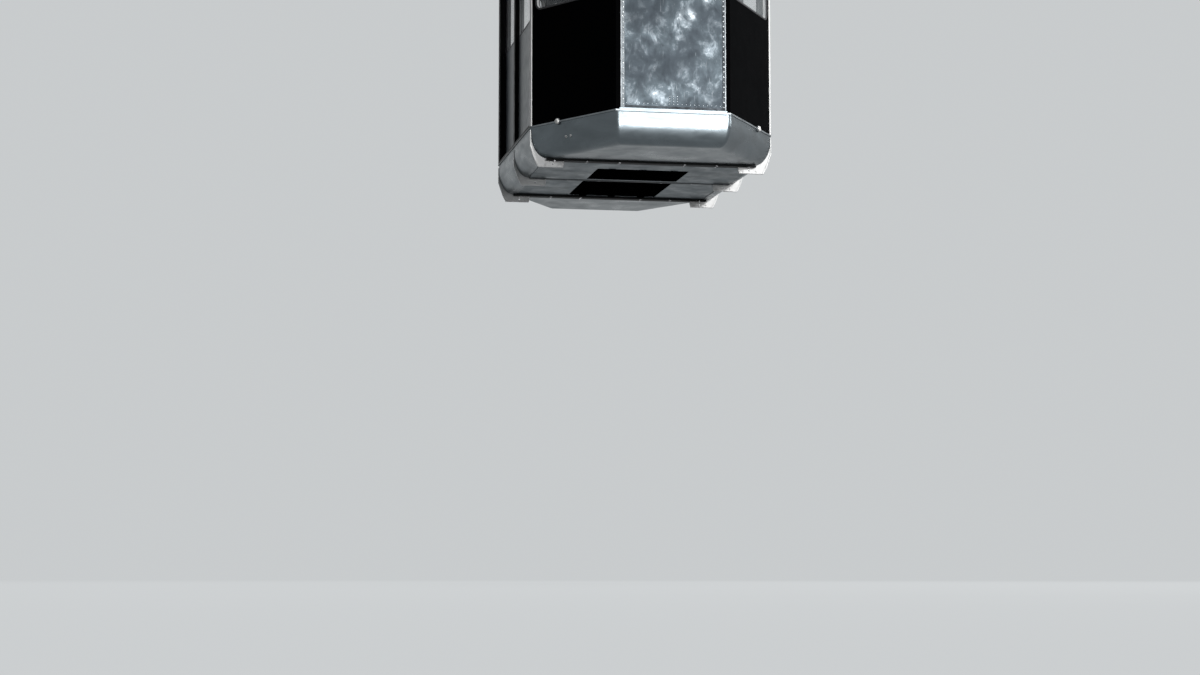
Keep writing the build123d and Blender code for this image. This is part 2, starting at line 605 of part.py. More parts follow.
# Door tracks: a slotted rail over each side's doors and a guide strip along the floor
with BuildPart() as door_tracks:
    for turn in (1, -1):
        with BuildSketch(side_section(turn)):
            with Locations((DOOR_MIDDLE, TRACK_LOW + TRACK_HEIGHT / 2)):
                Rectangle(TRACK_WIDTH, TRACK_HEIGHT)
                Rectangle(TRACK_WIDTH - 2 * TRACK_WALL, TRACK_HEIGHT - 2 * TRACK_WALL, mode=Mode.SUBTRACT)
            with Locations((DOOR_MIDDLE, TRACK_LOW)):
                Rectangle(TRACK_SLOT + MOVING_GAP, 4 * TRACK_WALL, mode=Mode.SUBTRACT)
            with Locations((DOOR_FACE - DOOR_THICK - MOVING_GAP - GUIDE_THICK / 2, GUIDE_HEIGHT / 2)):
                Rectangle(GUIDE_THICK, GUIDE_HEIGHT)
        extrude(amount=HALF_STRAIGHT - TRACK_END, both=True)
save(door_tracks.part, "door_tracks")

# Ceiling, resting on the walls
with BuildPart() as ceiling:
    with BuildSketch(Plane.XY.offset(BELT + WALL_TOP)):
        Polygon(*plan_points(ROOF_EAVE - ROOF_SKIN - SEAT_GAP), align=None)
        with Locations((0, HATCH_Y)):
            Rectangle(HATCH_SIZE, HATCH_SIZE, mode=Mode.SUBTRACT)
    extrude(amount=CEILING_THICK)
save(ceiling.part, "ceiling")

# Roof shell with the coaming of its hatch
COAMING_SIZE = HATCH_SIZE + 2 * COAMING_WALL
COAMING_TOP = ROOF_TOP + COAMING_RISE
with BuildPart() as roof_shell:
    roof_block(0, 0)
    roof_block(ROOF_SKIN, -1, mode=Mode.SUBTRACT)
    with BuildSketch(Plane.XY.offset(BELT + WALL_TOP + CEILING_THICK)):
        with Locations((0, HATCH_Y)):
            RectangleRounded(COAMING_SIZE, COAMING_SIZE, COAMING_WALL)
    extrude(amount=COAMING_TOP - BELT - WALL_TOP - CEILING_THICK)
    with BuildSketch(Plane.XY.offset(BELT + WALL_TOP)):
        with Locations((0, HATCH_Y)):
            Rectangle(HATCH_SIZE, HATCH_SIZE)
    extrude(amount=2 * ROOF_RISE, mode=Mode.SUBTRACT)
save(roof_shell.part, "roof_shell")

# Lid of the roof hatch, a shallow pan turned over the coaming
LID_SIZE = COAMING_SIZE + 2 * MOVING_GAP + 2 * PAN_THICK
LID_HINGE_Y = HATCH_Y + LID_SIZE / 2 + HINGE_RADIUS
LID_HINGE_Z = ROOF_TOP + HINGE_RADIUS + SEAT_GAP
LID_HINGE_PLACES = (-HATCH_SIZE / 3, HATCH_SIZE / 3)
with BuildPart() as roof_lid:
    with BuildSketch(Plane.XY.offset(COAMING_TOP + SEAT_GAP - LID_LIP)):
        with Locations((0, HATCH_Y)):
            RectangleRounded(LID_SIZE, LID_SIZE, COAMING_WALL)
    extrude(amount=LID_LIP + LID_THICK)
    with BuildSketch(Plane.XY.offset(COAMING_TOP + SEAT_GAP - LID_LIP)):
        with Locations((0, HATCH_Y)):
            Rectangle(LID_SIZE - 2 * PAN_THICK, LID_SIZE - 2 * PAN_THICK)
    extrude(amount=LID_LIP, mode=Mode.SUBTRACT)
    fillet(roof_lid.faces().sort_by(Axis.Z)[-1].edges(), LID_THICK / 3)
    with Locations(*[(x, HATCH_Y + LID_SIZE / 2 + HINGE_RADIUS / 2, LID_HINGE_Z + HINGE_RADIUS / 2)
                     for x in LID_HINGE_PLACES]):
        Box(HINGE_KNUCKLE, HINGE_RADIUS, HINGE_RADIUS)
    for x in LID_HINGE_PLACES:
        x_cylinder(HINGE_RADIUS, x - HINGE_KNUCKLE / 2, x + HINGE_KNUCKLE / 2, LID_HINGE_Y, LID_HINGE_Z)
save(roof_lid.part, "roof_lid")

# Grab poles from floor to ceiling
with BuildPart() as grab_poles:
    with Locations((0, 0, BELT + WALL_TOP / 2)):
        with GridLocations(2 * POLE_X, 2 * POLE_Y, 2, 2):
            Cylinder(POLE_RADIUS, WALL_TOP)
save(grab_poles.part, "grab_poles")

# Rollers and axles: each axle carries one roller on either rope
AXLE_PLACES = [AXLE_PITCH * (index - 3.5) for index in range(8)]
CRADLE_PLACES = [AXLE_PITCH * (2 * index - 3) for index in range(4)]
ROCKER_PLACES = [-2 * AXLE_PITCH, 2 * AXLE_PITCH]
ROPE_X = ROPE_SPACING / 2


def roller_profile():
    """Half section of one axle: shaft, then a webbed roller with its rope groove."""
    inner, outer = ROPE_X - ROLLER_WIDTH / 2, ROPE_X + ROLLER_WIDTH / 2
    groove = ROPE_RADIUS + GROOVE_PLAY
    lip = (groove ** 2 - (groove - (RIM_RADIUS - GROOVE_RADIUS)) ** 2) ** 0.5
    web_in, web_out = ROPE_X - WEB_THICK / 2, ROPE_X + WEB_THICK / 2
    rim_in, end = RIM_RADIUS - RIM_DEPTH, outer + AXLE_CAP
    web_end, hub_end = rim_in - ROLLER_RIM_STEP, ROLLER_HUB + ROLLER_HUB_STEP
    cradle_face = CRADLE_INNER + PLATE + SEAT_GAP
    with BuildLine() as outline:
        Polyline((ROPE_X - lip, RIM_RADIUS), (inner, RIM_RADIUS), (inner, rim_in), (web_in, web_end),
                 (web_in, hub_end), (inner, ROLLER_HUB), (inner, AXLE_RADIUS + AXLE_COLLAR),
                 (cradle_face, AXLE_RADIUS + AXLE_COLLAR), (cradle_face, AXLE_RADIUS),
                 (0, AXLE_RADIUS), (0, 0), (end, 0),
                 (end, ROLLER_HUB - AXLE_COLLAR), (outer, ROLLER_HUB), (web_out, hub_end),
                 (web_out, web_end), (outer, rim_in), (outer, RIM_RADIUS), (ROPE_X + lip, RIM_RADIUS))
        ThreePointArc((ROPE_X + lip, RIM_RADIUS), (ROPE_X, GROOVE_RADIUS), (ROPE_X - lip, RIM_RADIUS))
    make_face(outline.edges())


for number, y in enumerate(AXLE_PLACES, 1):
    with BuildPart() as axle:
        with BuildSketch(Plane(origin=(0, y, AXLE_Z), x_dir=(1, 0, 0), z_dir=(0, 0, 1))):
            roller_profile()
        revolve(axis=Axis((0, y, AXLE_Z), (1, 0, 0)))
        mirror(about=Plane.YZ)
    save(axle.part, f"roller_axle_{number}")

# Cradles: two plates joined by a spacer, with bores for two axles and for the rocker's pin
for number, y in enumerate(CRADLE_PLACES, 1):
    with BuildPart() as cradle:
        ends = (y - AXLE_PITCH / 2, y + AXLE_PITCH / 2)
        lobes = [(end, AXLE_Z, AXLE_LOBE) for end in ends] + [(y, CRADLE_Z, CRADLE_LOBE)]
        lobed_plates(CRADLE_INNER, lobes)
        x_cylinder(SPACER_RADIUS, -CRADLE_INNER, CRADLE_INNER, y, AXLE_Z - SPACER_RADIUS)
        for at in ends:
            x_cylinder(AXLE_RADIUS + RUNNING_FIT, -ROPE_X, ROPE_X, at, AXLE_Z, Mode.SUBTRACT)
        x_cylinder(PIN_RADIUS + RUNNING_FIT, -ROPE_X, ROPE_X, y, CRADLE_Z, Mode.SUBTRACT)
    save(cradle.part, f"cradle_{number}")


def capped_pin(outer, y, z):
    """Pin through a pair of plates whose outer faces lie at a distance, with a cap at each end."""
    end = outer + PIN_GAP + PIN_CAP
    x_cylinder(PIN_RADIUS, -end, end, y, z)
    for low in (outer + PIN_GAP, -end):
        x_cylinder(PIN_RADIUS + PIN_CAP, low, low + PIN_CAP, y, z)


# Rockers: each carries two cradles on pins and hangs its plates outside the main beam
for name, centre in (("rocker_front", ROCKER_PLACES[0]), ("rocker_rear", ROCKER_PLACES[1])):
    with BuildPart() as rocker:
        for end in (centre - AXLE_PITCH, centre + AXLE_PITCH):
            lobes = [(end, CRADLE_Z, ROCKER_LOBES[0]), (centre, ROCKER_Z, ROCKER_LOBES[1])]
            lobed_plates(ROCKER_INNER, lobes)
            capped_pin(CRADLE_INNER + PLATE, end, CRADLE_Z)
            x_cylinder(SPACER_RADIUS, -ROCKER_INNER, ROCKER_INNER, (end + centre) / 2, SPACER_Z)
        x_cylinder(PIN_RADIUS + RUNNING_FIT, -ROPE_X, ROPE_X, centre, ROCKER_Z, Mode.SUBTRACT)
    save(rocker.part, name)

# Main beam: two cranked plates, the hanger's bearing tube and the rocker pins
with BuildPart() as main_beam:
    for centre in ROCKER_PLACES:
        lobed_plates(BEAM_INNER, [(centre, ROCKER_Z, BEAM_LOBES[0]), (0, SHAFT_Z, BEAM_LOBES[1])])
        capped_pin(ROCKER_INNER + PLATE, centre, ROCKER_Z)
        spacer_y = BEAM_SPACER_Y if centre > 0 else -BEAM_SPACER_Y
        x_cylinder(SPACER_RADIUS, -BEAM_INNER, BEAM_INNER, spacer_y, ROCKER_Z + BEAM_SPACER_RISE)
    x_cylinder(HUB_RADIUS, -HUB_HALF, HUB_HALF, 0, SHAFT_Z)
    x_cylinder(SHAFT_RADIUS + RUNNING_FIT, -ROPE_X, ROPE_X, 0, SHAFT_Z, Mode.SUBTRACT)
save(main_beam.part, "main_beam")

# Drop bracket between the plates of the main beam, with the sockets of the haul ropes
with BuildPart() as haul_bracket:
    for face in (DROP_INNER, -DROP_INNER - PLATE):
        with BuildSketch(Plane(origin=(face, 0, 0), x_dir=(0, 1, 0), z_dir=(1, 0, 0))):
            with Locations((0, (SHAFT_Z - HUB_RADIUS - SEAT_GAP - HAUL_DROP - SOCKET_RADII[0]) / 2)):
                Rectangle(2 * DROP_HALF, SHAFT_Z - HUB_RADIUS - SEAT_GAP + HAUL_DROP + SOCKET_RADII[0])
        extrude(amount=PLATE)
    with BuildSketch(Plane(origin=(0, 0, -HAUL_DROP), x_dir=(1, 0, 0), z_dir=(0, -1, 0))):
        Rectangle(2 * DROP_INNER, 2 * SOCKET_RADII[0])
    extrude(amount=DROP_HALF, both=True)
    for way in (1, -1):
        with BuildSketch(Plane(origin=(0, 0, -HAUL_DROP), x_dir=(0, way, 0), z_dir=(0, 0, 1))):
            Polygon((0, 0), (DROP_HALF, SOCKET_RADII[0]), (DROP_HALF + SOCKET_LENGTH / 2, SOCKET_RADII[0]),
                    (DROP_HALF + SOCKET_LENGTH, SOCKET_RADII[1]), (DROP_HALF + SOCKET_LENGTH, 0),
                    align=None)
        revolve(axis=Axis((0, 0, -HAUL_DROP), (0, 1, 0)))
        socket_end = (0, way * (DROP_HALF + SOCKET_LENGTH), -HAUL_DROP)
        with BuildSketch(Plane(origin=socket_end, x_dir=(1, 0, 0), z_dir=(0, -way, 0))):
            Circle(HAUL_ROPE_RADIUS + SEAT_GAP)
        extrude(amount=SOCKET_BORE, mode=Mode.SUBTRACT)
save(haul_bracket.part, "haul_bracket")

# Hanger shaft, turning in the main beam's bearing tube
with BuildPart() as hanger_shaft:
    bearing_end = HUB_HALF + SHAFT_PLAY
    x_cylinder(SHAFT_RADIUS, ARM_X + SEAT_GAP, bearing_end + AXLE_CAP, 0, SHAFT_Z)
    x_cylinder(SHAFT_RADIUS + SHAFT_COLLAR, bearing_end, bearing_end + AXLE_CAP, 0, SHAFT_Z)
    x_cylinder(SHAFT_RADIUS + SHAFT_COLLAR, ARM_X + ARM_DEPTH / 2, -bearing_end, 0, SHAFT_Z)
save(hanger_shaft.part, "hanger_shaft")

# Hanger arm: a cranked box girder with wide flanges
LEAN = atan2(-ARM_X, CRANK_TOP - CRANK_BOTTOM)
CRANK_SHIFT = tan(LEAN / 2)


def arm_line(offset):
    """Line beside the arm's middle line, at a distance towards -X, in the X-Z plane."""
    return FilletPolyline(
        (ARM_X - offset, SHAFT_Z), (ARM_X - offset, CRANK_TOP - offset * CRANK_SHIFT),
        (-offset, CRANK_BOTTOM - offset * CRANK_SHIFT), (-offset, FOOT_TOP),
        radius=[ARM_BEND + offset, ARM_BEND - offset],
    )


def arm_band(half_depth, half_width, mode=Mode.ADD):
    """Band of the arm's side view, as deep as given each side of its middle line."""
    with BuildSketch(Plane.XZ) as band:
        with BuildLine() as edge:
            left = arm_line(half_depth)
            right = arm_line(-half_depth)
            Line(left @ 0, right @ 0)
            Line(left @ 1, right @ 1)
        make_face(edge.edges())
    extrude(band.sketch, amount=half_width, both=True, mode=mode)


with BuildPart() as hanger_arm:
    arm_band(ARM_DEPTH / 2, ARM_FLANGE_HALF)
    arm_band(ARM_DEPTH / 2 - ARM_PLATE, 2 * ARM_FLANGE_HALF, Mode.SUBTRACT)
    arm_band(ARM_DEPTH / 2 - ARM_PLATE, ARM_WEB_HALF)
    arm_band(ARM_DEPTH / 2 - ARM_PLATE, ARM_WEB_HALF - ARM_PLATE, Mode.SUBTRACT)
    x_cylinder(HEAD_RADIUS, ARM_X - ARM_DEPTH / 2, ARM_X + ARM_DEPTH / 2, 0, SHAFT_Z)
    x_cylinder(SHAFT_RADIUS + SEAT_GAP, ARM_X, ARM_X + ARM_DEPTH / 2, 0, SHAFT_Z, Mode.SUBTRACT)
save(hanger_arm.part, "hanger_arm")

# Hanger foot: two long members on the rubber mounts, a cross member and four struts
with BuildPart() as hanger_foot:
    with Locations((-MOUNT_X, 0, FOOT_LOW + FOOT_HEIGHT / 2), (MOUNT_X, 0, FOOT_LOW + FOOT_HEIGHT / 2)):
        Box(FOOT_WIDTH, 2 * (MOUNT_Y + FOOT_OVERHANG), FOOT_HEIGHT)
    with Locations(*[(0, y, FOOT_LOW + FOOT_HEIGHT / 2) for y in (-MOUNT_Y, 0, MOUNT_Y)]):
        Box(2 * MOUNT_X, FOOT_WIDTH, FOOT_HEIGHT)
    for sx in (-1, 1):
        for sy in (-1, 1):
            head = Vector(sx * ARM_DEPTH / 2, sy * ARM_WEB_HALF, FOOT_TOP + STRUT_RISE)
            foot = Vector(sx * MOUNT_X, sy * MOUNT_Y, FOOT_TOP - STRUT_RADIUS)
            with BuildSketch(Plane(origin=foot, z_dir=head - foot)):
                Circle(STRUT_RADIUS)
            extrude(amount=(head - foot).length)
    arm_band(ARM_DEPTH / 2, 2 * ARM_FLANGE_HALF, Mode.SUBTRACT)
save(hanger_foot.part, "hanger_foot")

with BuildPart() as rubber_mounts:
    with Locations((0, 0, ROOF_TOP + MOUNT_HEIGHT / 2)):
        with GridLocations(2 * MOUNT_X, 2 * MOUNT_Y, 2, 2):
            Cylinder(MOUNT_RADIUS, MOUNT_HEIGHT)
save(rubber_mounts.part, "rubber_mounts")

# Ladder along the outer side of the arm: two flat rails, and rungs with stems to the arm
LADDER_OFFSET = ARM_DEPTH / 2 + LADDER_STANDOFF
LADDER_LINE = arm_line(LADDER_OFFSET)
with BuildPart() as hanger_ladder:
    for side in (1, -1):
        with BuildSketch(Plane.XZ.offset(-side * LADDER_HALF)):
            with BuildLine() as rail:
                outer = arm_line(LADDER_OFFSET + RAIL_DEPTH / 2)
                inner = arm_line(LADDER_OFFSET - RAIL_DEPTH / 2)
                Line(outer @ 0, inner @ 0)
                Line(outer @ 1, inner @ 1)
            make_face()
        extrude(amount=-side * RAIL_THICK)
save(hanger_ladder.part, "hanger_ladder")

with BuildPart() as ladder_rungs:
    for rung in range(int(LADDER_LINE.length / RUNG_PITCH)):
        share = (rung + 0.5) * RUNG_PITCH / LADDER_LINE.length
        place, along = LADDER_LINE @ share, LADDER_LINE % share
        with BuildSketch(Plane(origin=(place.X, 0, place.Y), x_dir=(1, 0, 0), z_dir=(0, 1, 0))):
            Circle(RUNG_RADIUS)
        extrude(amount=LADDER_HALF, both=True)
        if rung % STEM_PITCH == 0:
            for y in (-STEM_PLACE, STEM_PLACE):
                with BuildSketch(Plane(origin=(place.X, y, place.Y), z_dir=(-along.Y, 0, along.X))):
                    Circle(STEM_RADIUS)
                extrude(amount=LADDER_STANDOFF - SEAT_GAP)
save(ladder_rungs.part, "ladder_rungs")
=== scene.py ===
"""Looks of the aerial tramway cabin, its hanger and its carriage.

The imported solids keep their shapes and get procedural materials. Rivets, seals, strips,
bolts and fittings are added as meshes that ride on the bodies. Lengths are in metres.
"""

import math

import bpy
from mathutils import Matrix, Vector


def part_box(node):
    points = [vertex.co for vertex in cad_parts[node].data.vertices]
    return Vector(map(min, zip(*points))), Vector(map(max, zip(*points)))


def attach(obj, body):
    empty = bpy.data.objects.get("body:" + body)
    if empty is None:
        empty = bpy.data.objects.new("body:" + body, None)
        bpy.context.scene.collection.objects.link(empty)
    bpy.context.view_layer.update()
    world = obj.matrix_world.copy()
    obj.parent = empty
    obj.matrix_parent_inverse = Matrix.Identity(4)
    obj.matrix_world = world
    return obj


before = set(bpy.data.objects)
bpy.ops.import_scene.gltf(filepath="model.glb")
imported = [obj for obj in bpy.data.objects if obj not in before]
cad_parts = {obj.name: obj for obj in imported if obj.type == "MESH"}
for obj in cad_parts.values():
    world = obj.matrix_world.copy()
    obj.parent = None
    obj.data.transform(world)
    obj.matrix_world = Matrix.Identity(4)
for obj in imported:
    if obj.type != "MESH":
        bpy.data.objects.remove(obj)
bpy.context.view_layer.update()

UP = Vector((0, 0, 1))
DOWN = Vector((0, 0, -1))
X_WAY = Vector((1, 0, 0))
Y_WAY = Vector((0, 1, 0))


def low(node):
    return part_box(node)[0]


def high(node):
    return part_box(node)[1]


def centre_of(node):
    return (low(node) + high(node)) / 2


def half_size(node):
    return (high(node) - low(node)) / 2


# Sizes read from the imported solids
BELT = centre_of("belt_rail").z
HALF_WIDTH = high("side_frame_right").x
HALF_STRAIGHT = high("side_frame_right").y
HALF_LENGTH = high("end_rear_centre").y
NOSE_HALF = high("end_rear_centre").x
WALL_TOP = high("end_rear_centre").z
WALL_HEIGHT = WALL_TOP - BELT
ROOF_TOP = low("rubber_mounts").z
SKIRT_LOW = low("skirt_front").z
PAN_LOW = low("floor_pans").z
END_SILL, WINDOW_TOP = low("panes_front").z, high("panes_front").z
SIDE_SILL, DOOR_SILL = low("bay_panes").z, low("door_pane_right").z
DOOR_FACE, DOOR_INNER = high("door_right").x, low("door_right").x
BAY_FACE, BAY_INNER = high("bay_panel_right").x, low("bay_panel_right").x
BAY_HALF, BAY_MIDDLE = half_size("bay_panel_right").y, centre_of("bay_panel_right").y
BEAM_LOW = low("cross_beams").z

# Sizes that the solids share but their boxes don't give
WINDOW_MARGIN = 0.072
WINDOW_CORNER = 0.065
SIDE_CORNER = 0.022
BAY_MARGIN = 0.036
PANEL_THICK = 0.040
GLASS_BACK = 0.0105
MARKER_REACH = 0.1893       # marker lamp from the middle of its facet
BAY_DOOR_THICK = 0.020
BEAM_FOOT = 0.018
POLE_RADIUS = 0.0175

# The photograph's camera
CAMERA_AT = Vector((-4.473, -21.968, -9.405))
CAMERA_WAY = Vector((0.1857, 0.9772, 0.1032))
CAMERA_LENS = 69.43
CAMERA_OVER_FLOOR = 0.06
FLOOR_Z = CAMERA_AT.z - CAMERA_OVER_FLOOR

CORNERS = [Vector((x, y, BELT)) for x, y in (
    (HALF_WIDTH, -HALF_STRAIGHT), (HALF_WIDTH, HALF_STRAIGHT),
    (NOSE_HALF, HALF_LENGTH), (-NOSE_HALF, HALF_LENGTH),
    (-HALF_WIDTH, HALF_STRAIGHT), (-HALF_WIDTH, -HALF_STRAIGHT),
    (-NOSE_HALF, -HALF_LENGTH), (NOSE_HALF, -HALF_LENGTH))]
END_FACETS = (5, 6, 7, 1, 2, 3)
SLANTED_FACETS = (5, 7, 1, 3)


def facet(index):
    """A facet's middle on the belt line, its way along, its outward normal and its length."""
    start, end = CORNERS[index % 8], CORNERS[(index + 1) % 8]
    along = (end - start).normalized()
    return (start + end) / 2, along, Vector((along.y, -along.x, 0)), (end - start).length


def facet_point(index, x, z, out=0.0):
    """Point on a facet: x from its middle, z over the belt line, out from its face."""
    middle, along, normal, _ = facet(index)
    return middle + along * x + UP * z + normal * out


def placed(name, data):
    """New object in the scene."""
    item = bpy.data.objects.new(name, data)
    bpy.context.scene.collection.objects.link(item)
    return item


# Materials


def fill(node, **sockets):
    """Sets values on a node's sockets, where an underscore stands for a space."""
    for socket, value in sockets.items():
        node.inputs[socket.replace("_", " ")].default_value = value
    return node


class Shader:
    """Small builder for a node material around one Principled shader."""

    def __init__(self, name, color, roughness, metallic=0.0, **sockets):
        self.material = bpy.data.materials.new(name)
        self.material.use_nodes = True
        self.nodes = self.material.node_tree.nodes
        self.links = self.material.node_tree.links
        self.main = self.nodes["Principled BSDF"]
        fill(self.main, Base_Color=(*color, 1.0), Roughness=roughness, Metallic=metallic, **sockets)
        self.place = self.nodes.new("ShaderNodeTexCoord").outputs["Object"]
        self.height = None

    def noise(self, scale, detail, roughness=0.55, stretch=(1, 1, 1), distortion=0.0):
        mapping = fill(self.nodes.new("ShaderNodeMapping"), Scale=stretch)
        self.links.new(self.place, mapping.inputs["Vector"])
        node = self.nodes.new("ShaderNodeTexNoise")
        fill(node, Scale=scale, Detail=detail, Roughness=roughness, Distortion=distortion)
        self.links.new(mapping.outputs["Vector"], node.inputs["Vector"])
        return node.outputs["Fac"]

    def ramp(self, value, *stops):
        node = self.nodes.new("ShaderNodeValToRGB")
        elements = node.color_ramp.elements
        while len(elements) < len(stops):
            elements.new(0.5)
        for element, (position, color) in zip(elements, stops):
            element.position = position
            element.color = (*color, 1.0) if isinstance(color, tuple) else (color, color, color, 1.0)
        self.links.new(value, node.inputs["Fac"])
        return node.outputs["Color"]

    def mix(self, share, first, second):
        node = self.nodes.new("ShaderNodeMix")
        node.data_type = "RGBA"
        for socket, value in ((node.inputs[0], share), (node.inputs[6], first), (node.inputs[7], second)):
            if isinstance(value, bpy.types.NodeSocket):
                self.links.new(value, socket)
            elif isinstance(value, tuple):
                socket.default_value = (*value, 1.0)
            else:
                socket.default_value = value
        return node.outputs[2]

    def distance(self, axis, scale):
        """Distance from the middle plane along an axis, times a scale."""
        split = self.nodes.new("ShaderNodeSeparateXYZ")
        self.links.new(self.place, split.inputs["Vector"])
        away, scaled = (self.nodes.new("ShaderNodeMath") for _ in range(2))
        away.operation, scaled.operation = "ABSOLUTE", "MULTIPLY"
        self.links.new(split.outputs[axis], away.inputs[0])
        self.links.new(away.outputs[0], scaled.inputs[0])
        scaled.inputs[1].default_value = scale
        return scaled.outputs[0]

    def set(self, socket, value):
        self.links.new(value, self.main.inputs[socket])

    def bump(self, value, distance, strength):
        node = fill(self.nodes.new("ShaderNodeBump"), Distance=distance, Strength=strength)
        self.links.new(value, node.inputs["Height"])
        if self.height:
            self.links.new(self.height, node.inputs["Normal"])
        self.height = node.outputs["Normal"]
        self.links.new(self.height, self.main.inputs["Normal"])


def shade(color, factor):
    return tuple(min(1.0, channel * factor) for channel in color)


def paint(name, color, roughness, grime=0.12, streaks=0.0, specular=0.5):
    """Sprayed paint: faint clouds, streaks that run down, uneven gloss and orange peel."""
    shader = Shader(name, color, roughness, Specular_IOR_Level=specular)
    cloud = shader.noise(2.2, 5)
    base = shader.ramp(cloud, (0.3, shade(color, 1 - grime * 2.2)), (0.7, shade(color, 1 + grime)))
    if streaks:
        run = shader.noise(7.0, 6, 0.65, (1, 1, 0.06))
        share = shader.ramp(run, (0.50, 0.0), (0.75, streaks))
        base = shader.mix(share, base, shade(color, 0.45))
    dust = shader.ramp(shader.noise(30, 8, 0.7), (0.60, 0.0), (0.85, grime * 0.6))
    base = shader.mix(dust, base, shade(color, 2.4))
    shader.set("Base Color", base)
    gloss = shader.noise(9.0, 6)
    shader.set("Roughness", shader.ramp(gloss, (0.25, roughness * 0.8), (0.75, min(1.0, roughness * 1.35))))
    shader.bump(shader.noise(260, 2), 0.0003, 0.2)
    shader.bump(shader.noise(3.5, 3), 0.004, 0.10)
    return shader.material


def bare_metal(name, color, roughness, cloud, contrast, stretch=(1, 1, 1), dents=0.3, grain=(1, 1, 14)):
    """Bare sheet metal: clouds of oxide, fine grain along one way and shallow dents."""
    shader = Shader(name, color, roughness, 1.0)
    patches = shader.noise(cloud, 7, 0.62, stretch, 0.6)
    base = shader.ramp(patches, (0.32, shade(color, 1 - contrast)), (0.50, color),
                       (0.68, shade(color, 1 + contrast)))
    lines = shader.noise(70, 4, 0.7, grain)
    base = shader.mix(shader.ramp(lines, (0.35, 0.0), (0.8, 0.25)), base, shade(color, 1 - contrast))
    shader.set("Base Color", base)
    polish = shader.noise(cloud * 1.7, 6, 0.6, stretch, 0.4)
    shader.set("Roughness", shader.ramp(polish, (0.3, roughness * 0.75), (0.7, min(1.0, roughness * 1.4))))
    shader.bump(shader.noise(4.0, 2), 0.012, dents)
    shader.bump(lines, 0.0004, 0.2)
    return shader.material


def mottled_plate(name):
    """Old rolled aluminium plate: dark grey clouds with bright blotches, which are painted reflections."""
    shader = Shader(name, (0.12, 0.135, 0.145), 0.34, 1.0)
    broad = shader.noise(2.6, 3, 0.5, (1, 1, 1), 0.3)
    fine = shader.noise(7.5, 9, 0.66, (1, 1, 0.8), 0.35)
    dark, middle, bright = (0.014, 0.017, 0.020), (0.030, 0.037, 0.042), (0.36, 0.39, 0.41)
    # The bright stop paints reflections into the blotches
    base = shader.ramp(fine, (0.30, dark), (0.52, middle), (0.62, (0.085, 0.098, 0.108)), (0.72, bright))
    base = shader.mix(shader.ramp(broad, (0.42, 0.75), (0.60, 0.0)), base, dark)
    scratches = shader.noise(90, 3, 0.6, (1, 1, 0.08))
    base = shader.mix(shader.ramp(scratches, (0.66, 0.0), (0.80, 0.22)), base, bright)
    shader.set("Base Color", base)
    shader.set("Roughness", shader.ramp(fine, (0.3, 0.46), (0.75, 0.26)))
    shader.bump(shader.noise(3.4, 2), 0.014, 0.5)
    shader.bump(fine, 0.0008, 0.35)
    return shader.material


def rubber(name, color):
    shader = Shader(name, color, 0.62, Specular_IOR_Level=0.3)
    shader.set("Base Color", shader.ramp(shader.noise(6.0, 6), (0.4, color), (0.8, shade(color, 2.4))))
    shader.bump(shader.noise(420, 2), 0.0005, 0.35)
    return shader.material


def glazing(name):
    """Acrylic pane: clear, with a faint grey veil of dust and a slight waviness."""
    shader = Shader(name, (0.55, 0.60, 0.62), 0.05, Alpha=0.15, Specular_IOR_Level=0.9)
    veil = shader.noise(5.0, 5, 0.6, (1, 1, 0.3))
    shader.set("Base Color", shader.ramp(veil, (0.3, (0.46, 0.51, 0.53)), (0.7, (0.64, 0.69, 0.71))))
    shader.set("Roughness", shader.ramp(veil, (0.3, 0.03), (0.7, 0.10)))
    shader.bump(shader.noise(2.4, 2), 0.002, 0.06)
    return shader.material


def lamp_glass(name):
    shader = Shader(name, (0.93, 0.93, 0.91), 0.22, Coat_Weight=0.7)
    dust = shader.noise(40, 3)
    shader.set("Base Color", shader.ramp(dust, (0.3, (0.86, 0.86, 0.83)), (0.7, (0.96, 0.96, 0.94))))
    shader.bump(shader.noise(90, 2), 0.0006, 0.3)
    return shader.material


def turned_steel(name, color=(0.27, 0.27, 0.28), roughness=0.34):
    """Steel with a little rust in patches and fine turning marks."""
    shader = Shader(name, color, roughness, 1.0)
    patch = shader.noise(14, 7, 0.65)
    shader.set("Base Color", shader.ramp(patch, (0.42, color), (0.64, shade(color, 0.72)),
                                         (0.84, (0.17, 0.12, 0.09))))
    shader.set("Roughness", shader.ramp(patch, (0.4, roughness), (0.75, 0.66)))
    shader.bump(shader.noise(160, 3, 0.6, (12, 1, 1)), 0.0004, 0.25)
    return shader.material


def floor_rubber(name):
    """Studded floor covering."""
    shader = Shader(name, (0.09, 0.09, 0.095), 0.7)
    studs = fill(shader.nodes.new("ShaderNodeTexVoronoi"), Scale=28, Randomness=0.0)
    shader.links.new(shader.place, studs.inputs["Vector"])
    shader.bump(shader.ramp(studs.outputs["Distance"], (0.25, 1.0), (0.32, 0.0)), 0.002, 0.8)
    wear = shader.noise(3, 5)
    shader.set("Base Color", shader.ramp(wear, (0.3, (0.06, 0.06, 0.065)), (0.7, (0.13, 0.13, 0.135))))
    return shader.material


def beam_shade_and_glint(name):
    """Underframe beams near black, which is painted shade on their faces; the middle beam pale, a painted
    highlight.
    """
    shader = Shader(name, (0.03, 0.032, 0.035), 0.5, Specular_IOR_Level=0.03)
    # Pale band on the middle beam: painted highlight where its flange catches light
    middle = shader.ramp(shader.distance("Y", 1.0), (0.30, 1.0), (0.31, 0.0))
    dirt = shader.noise(12, 7, 0.65)
    # Near black on the other beams: painted shade; the cloudy variation is dirt
    dark = shader.ramp(dirt, (0.3, (0.006, 0.0065, 0.007)), (0.75, (0.020, 0.022, 0.024)))
    pale = shader.ramp(dirt, (0.3, (0.10, 0.11, 0.12)), (0.75, (0.19, 0.20, 0.21)))
    shader.set("Base Color", shader.mix(middle, dark, pale))
    shader.bump(shader.noise(120, 3), 0.0005, 0.3)
    return shader.material


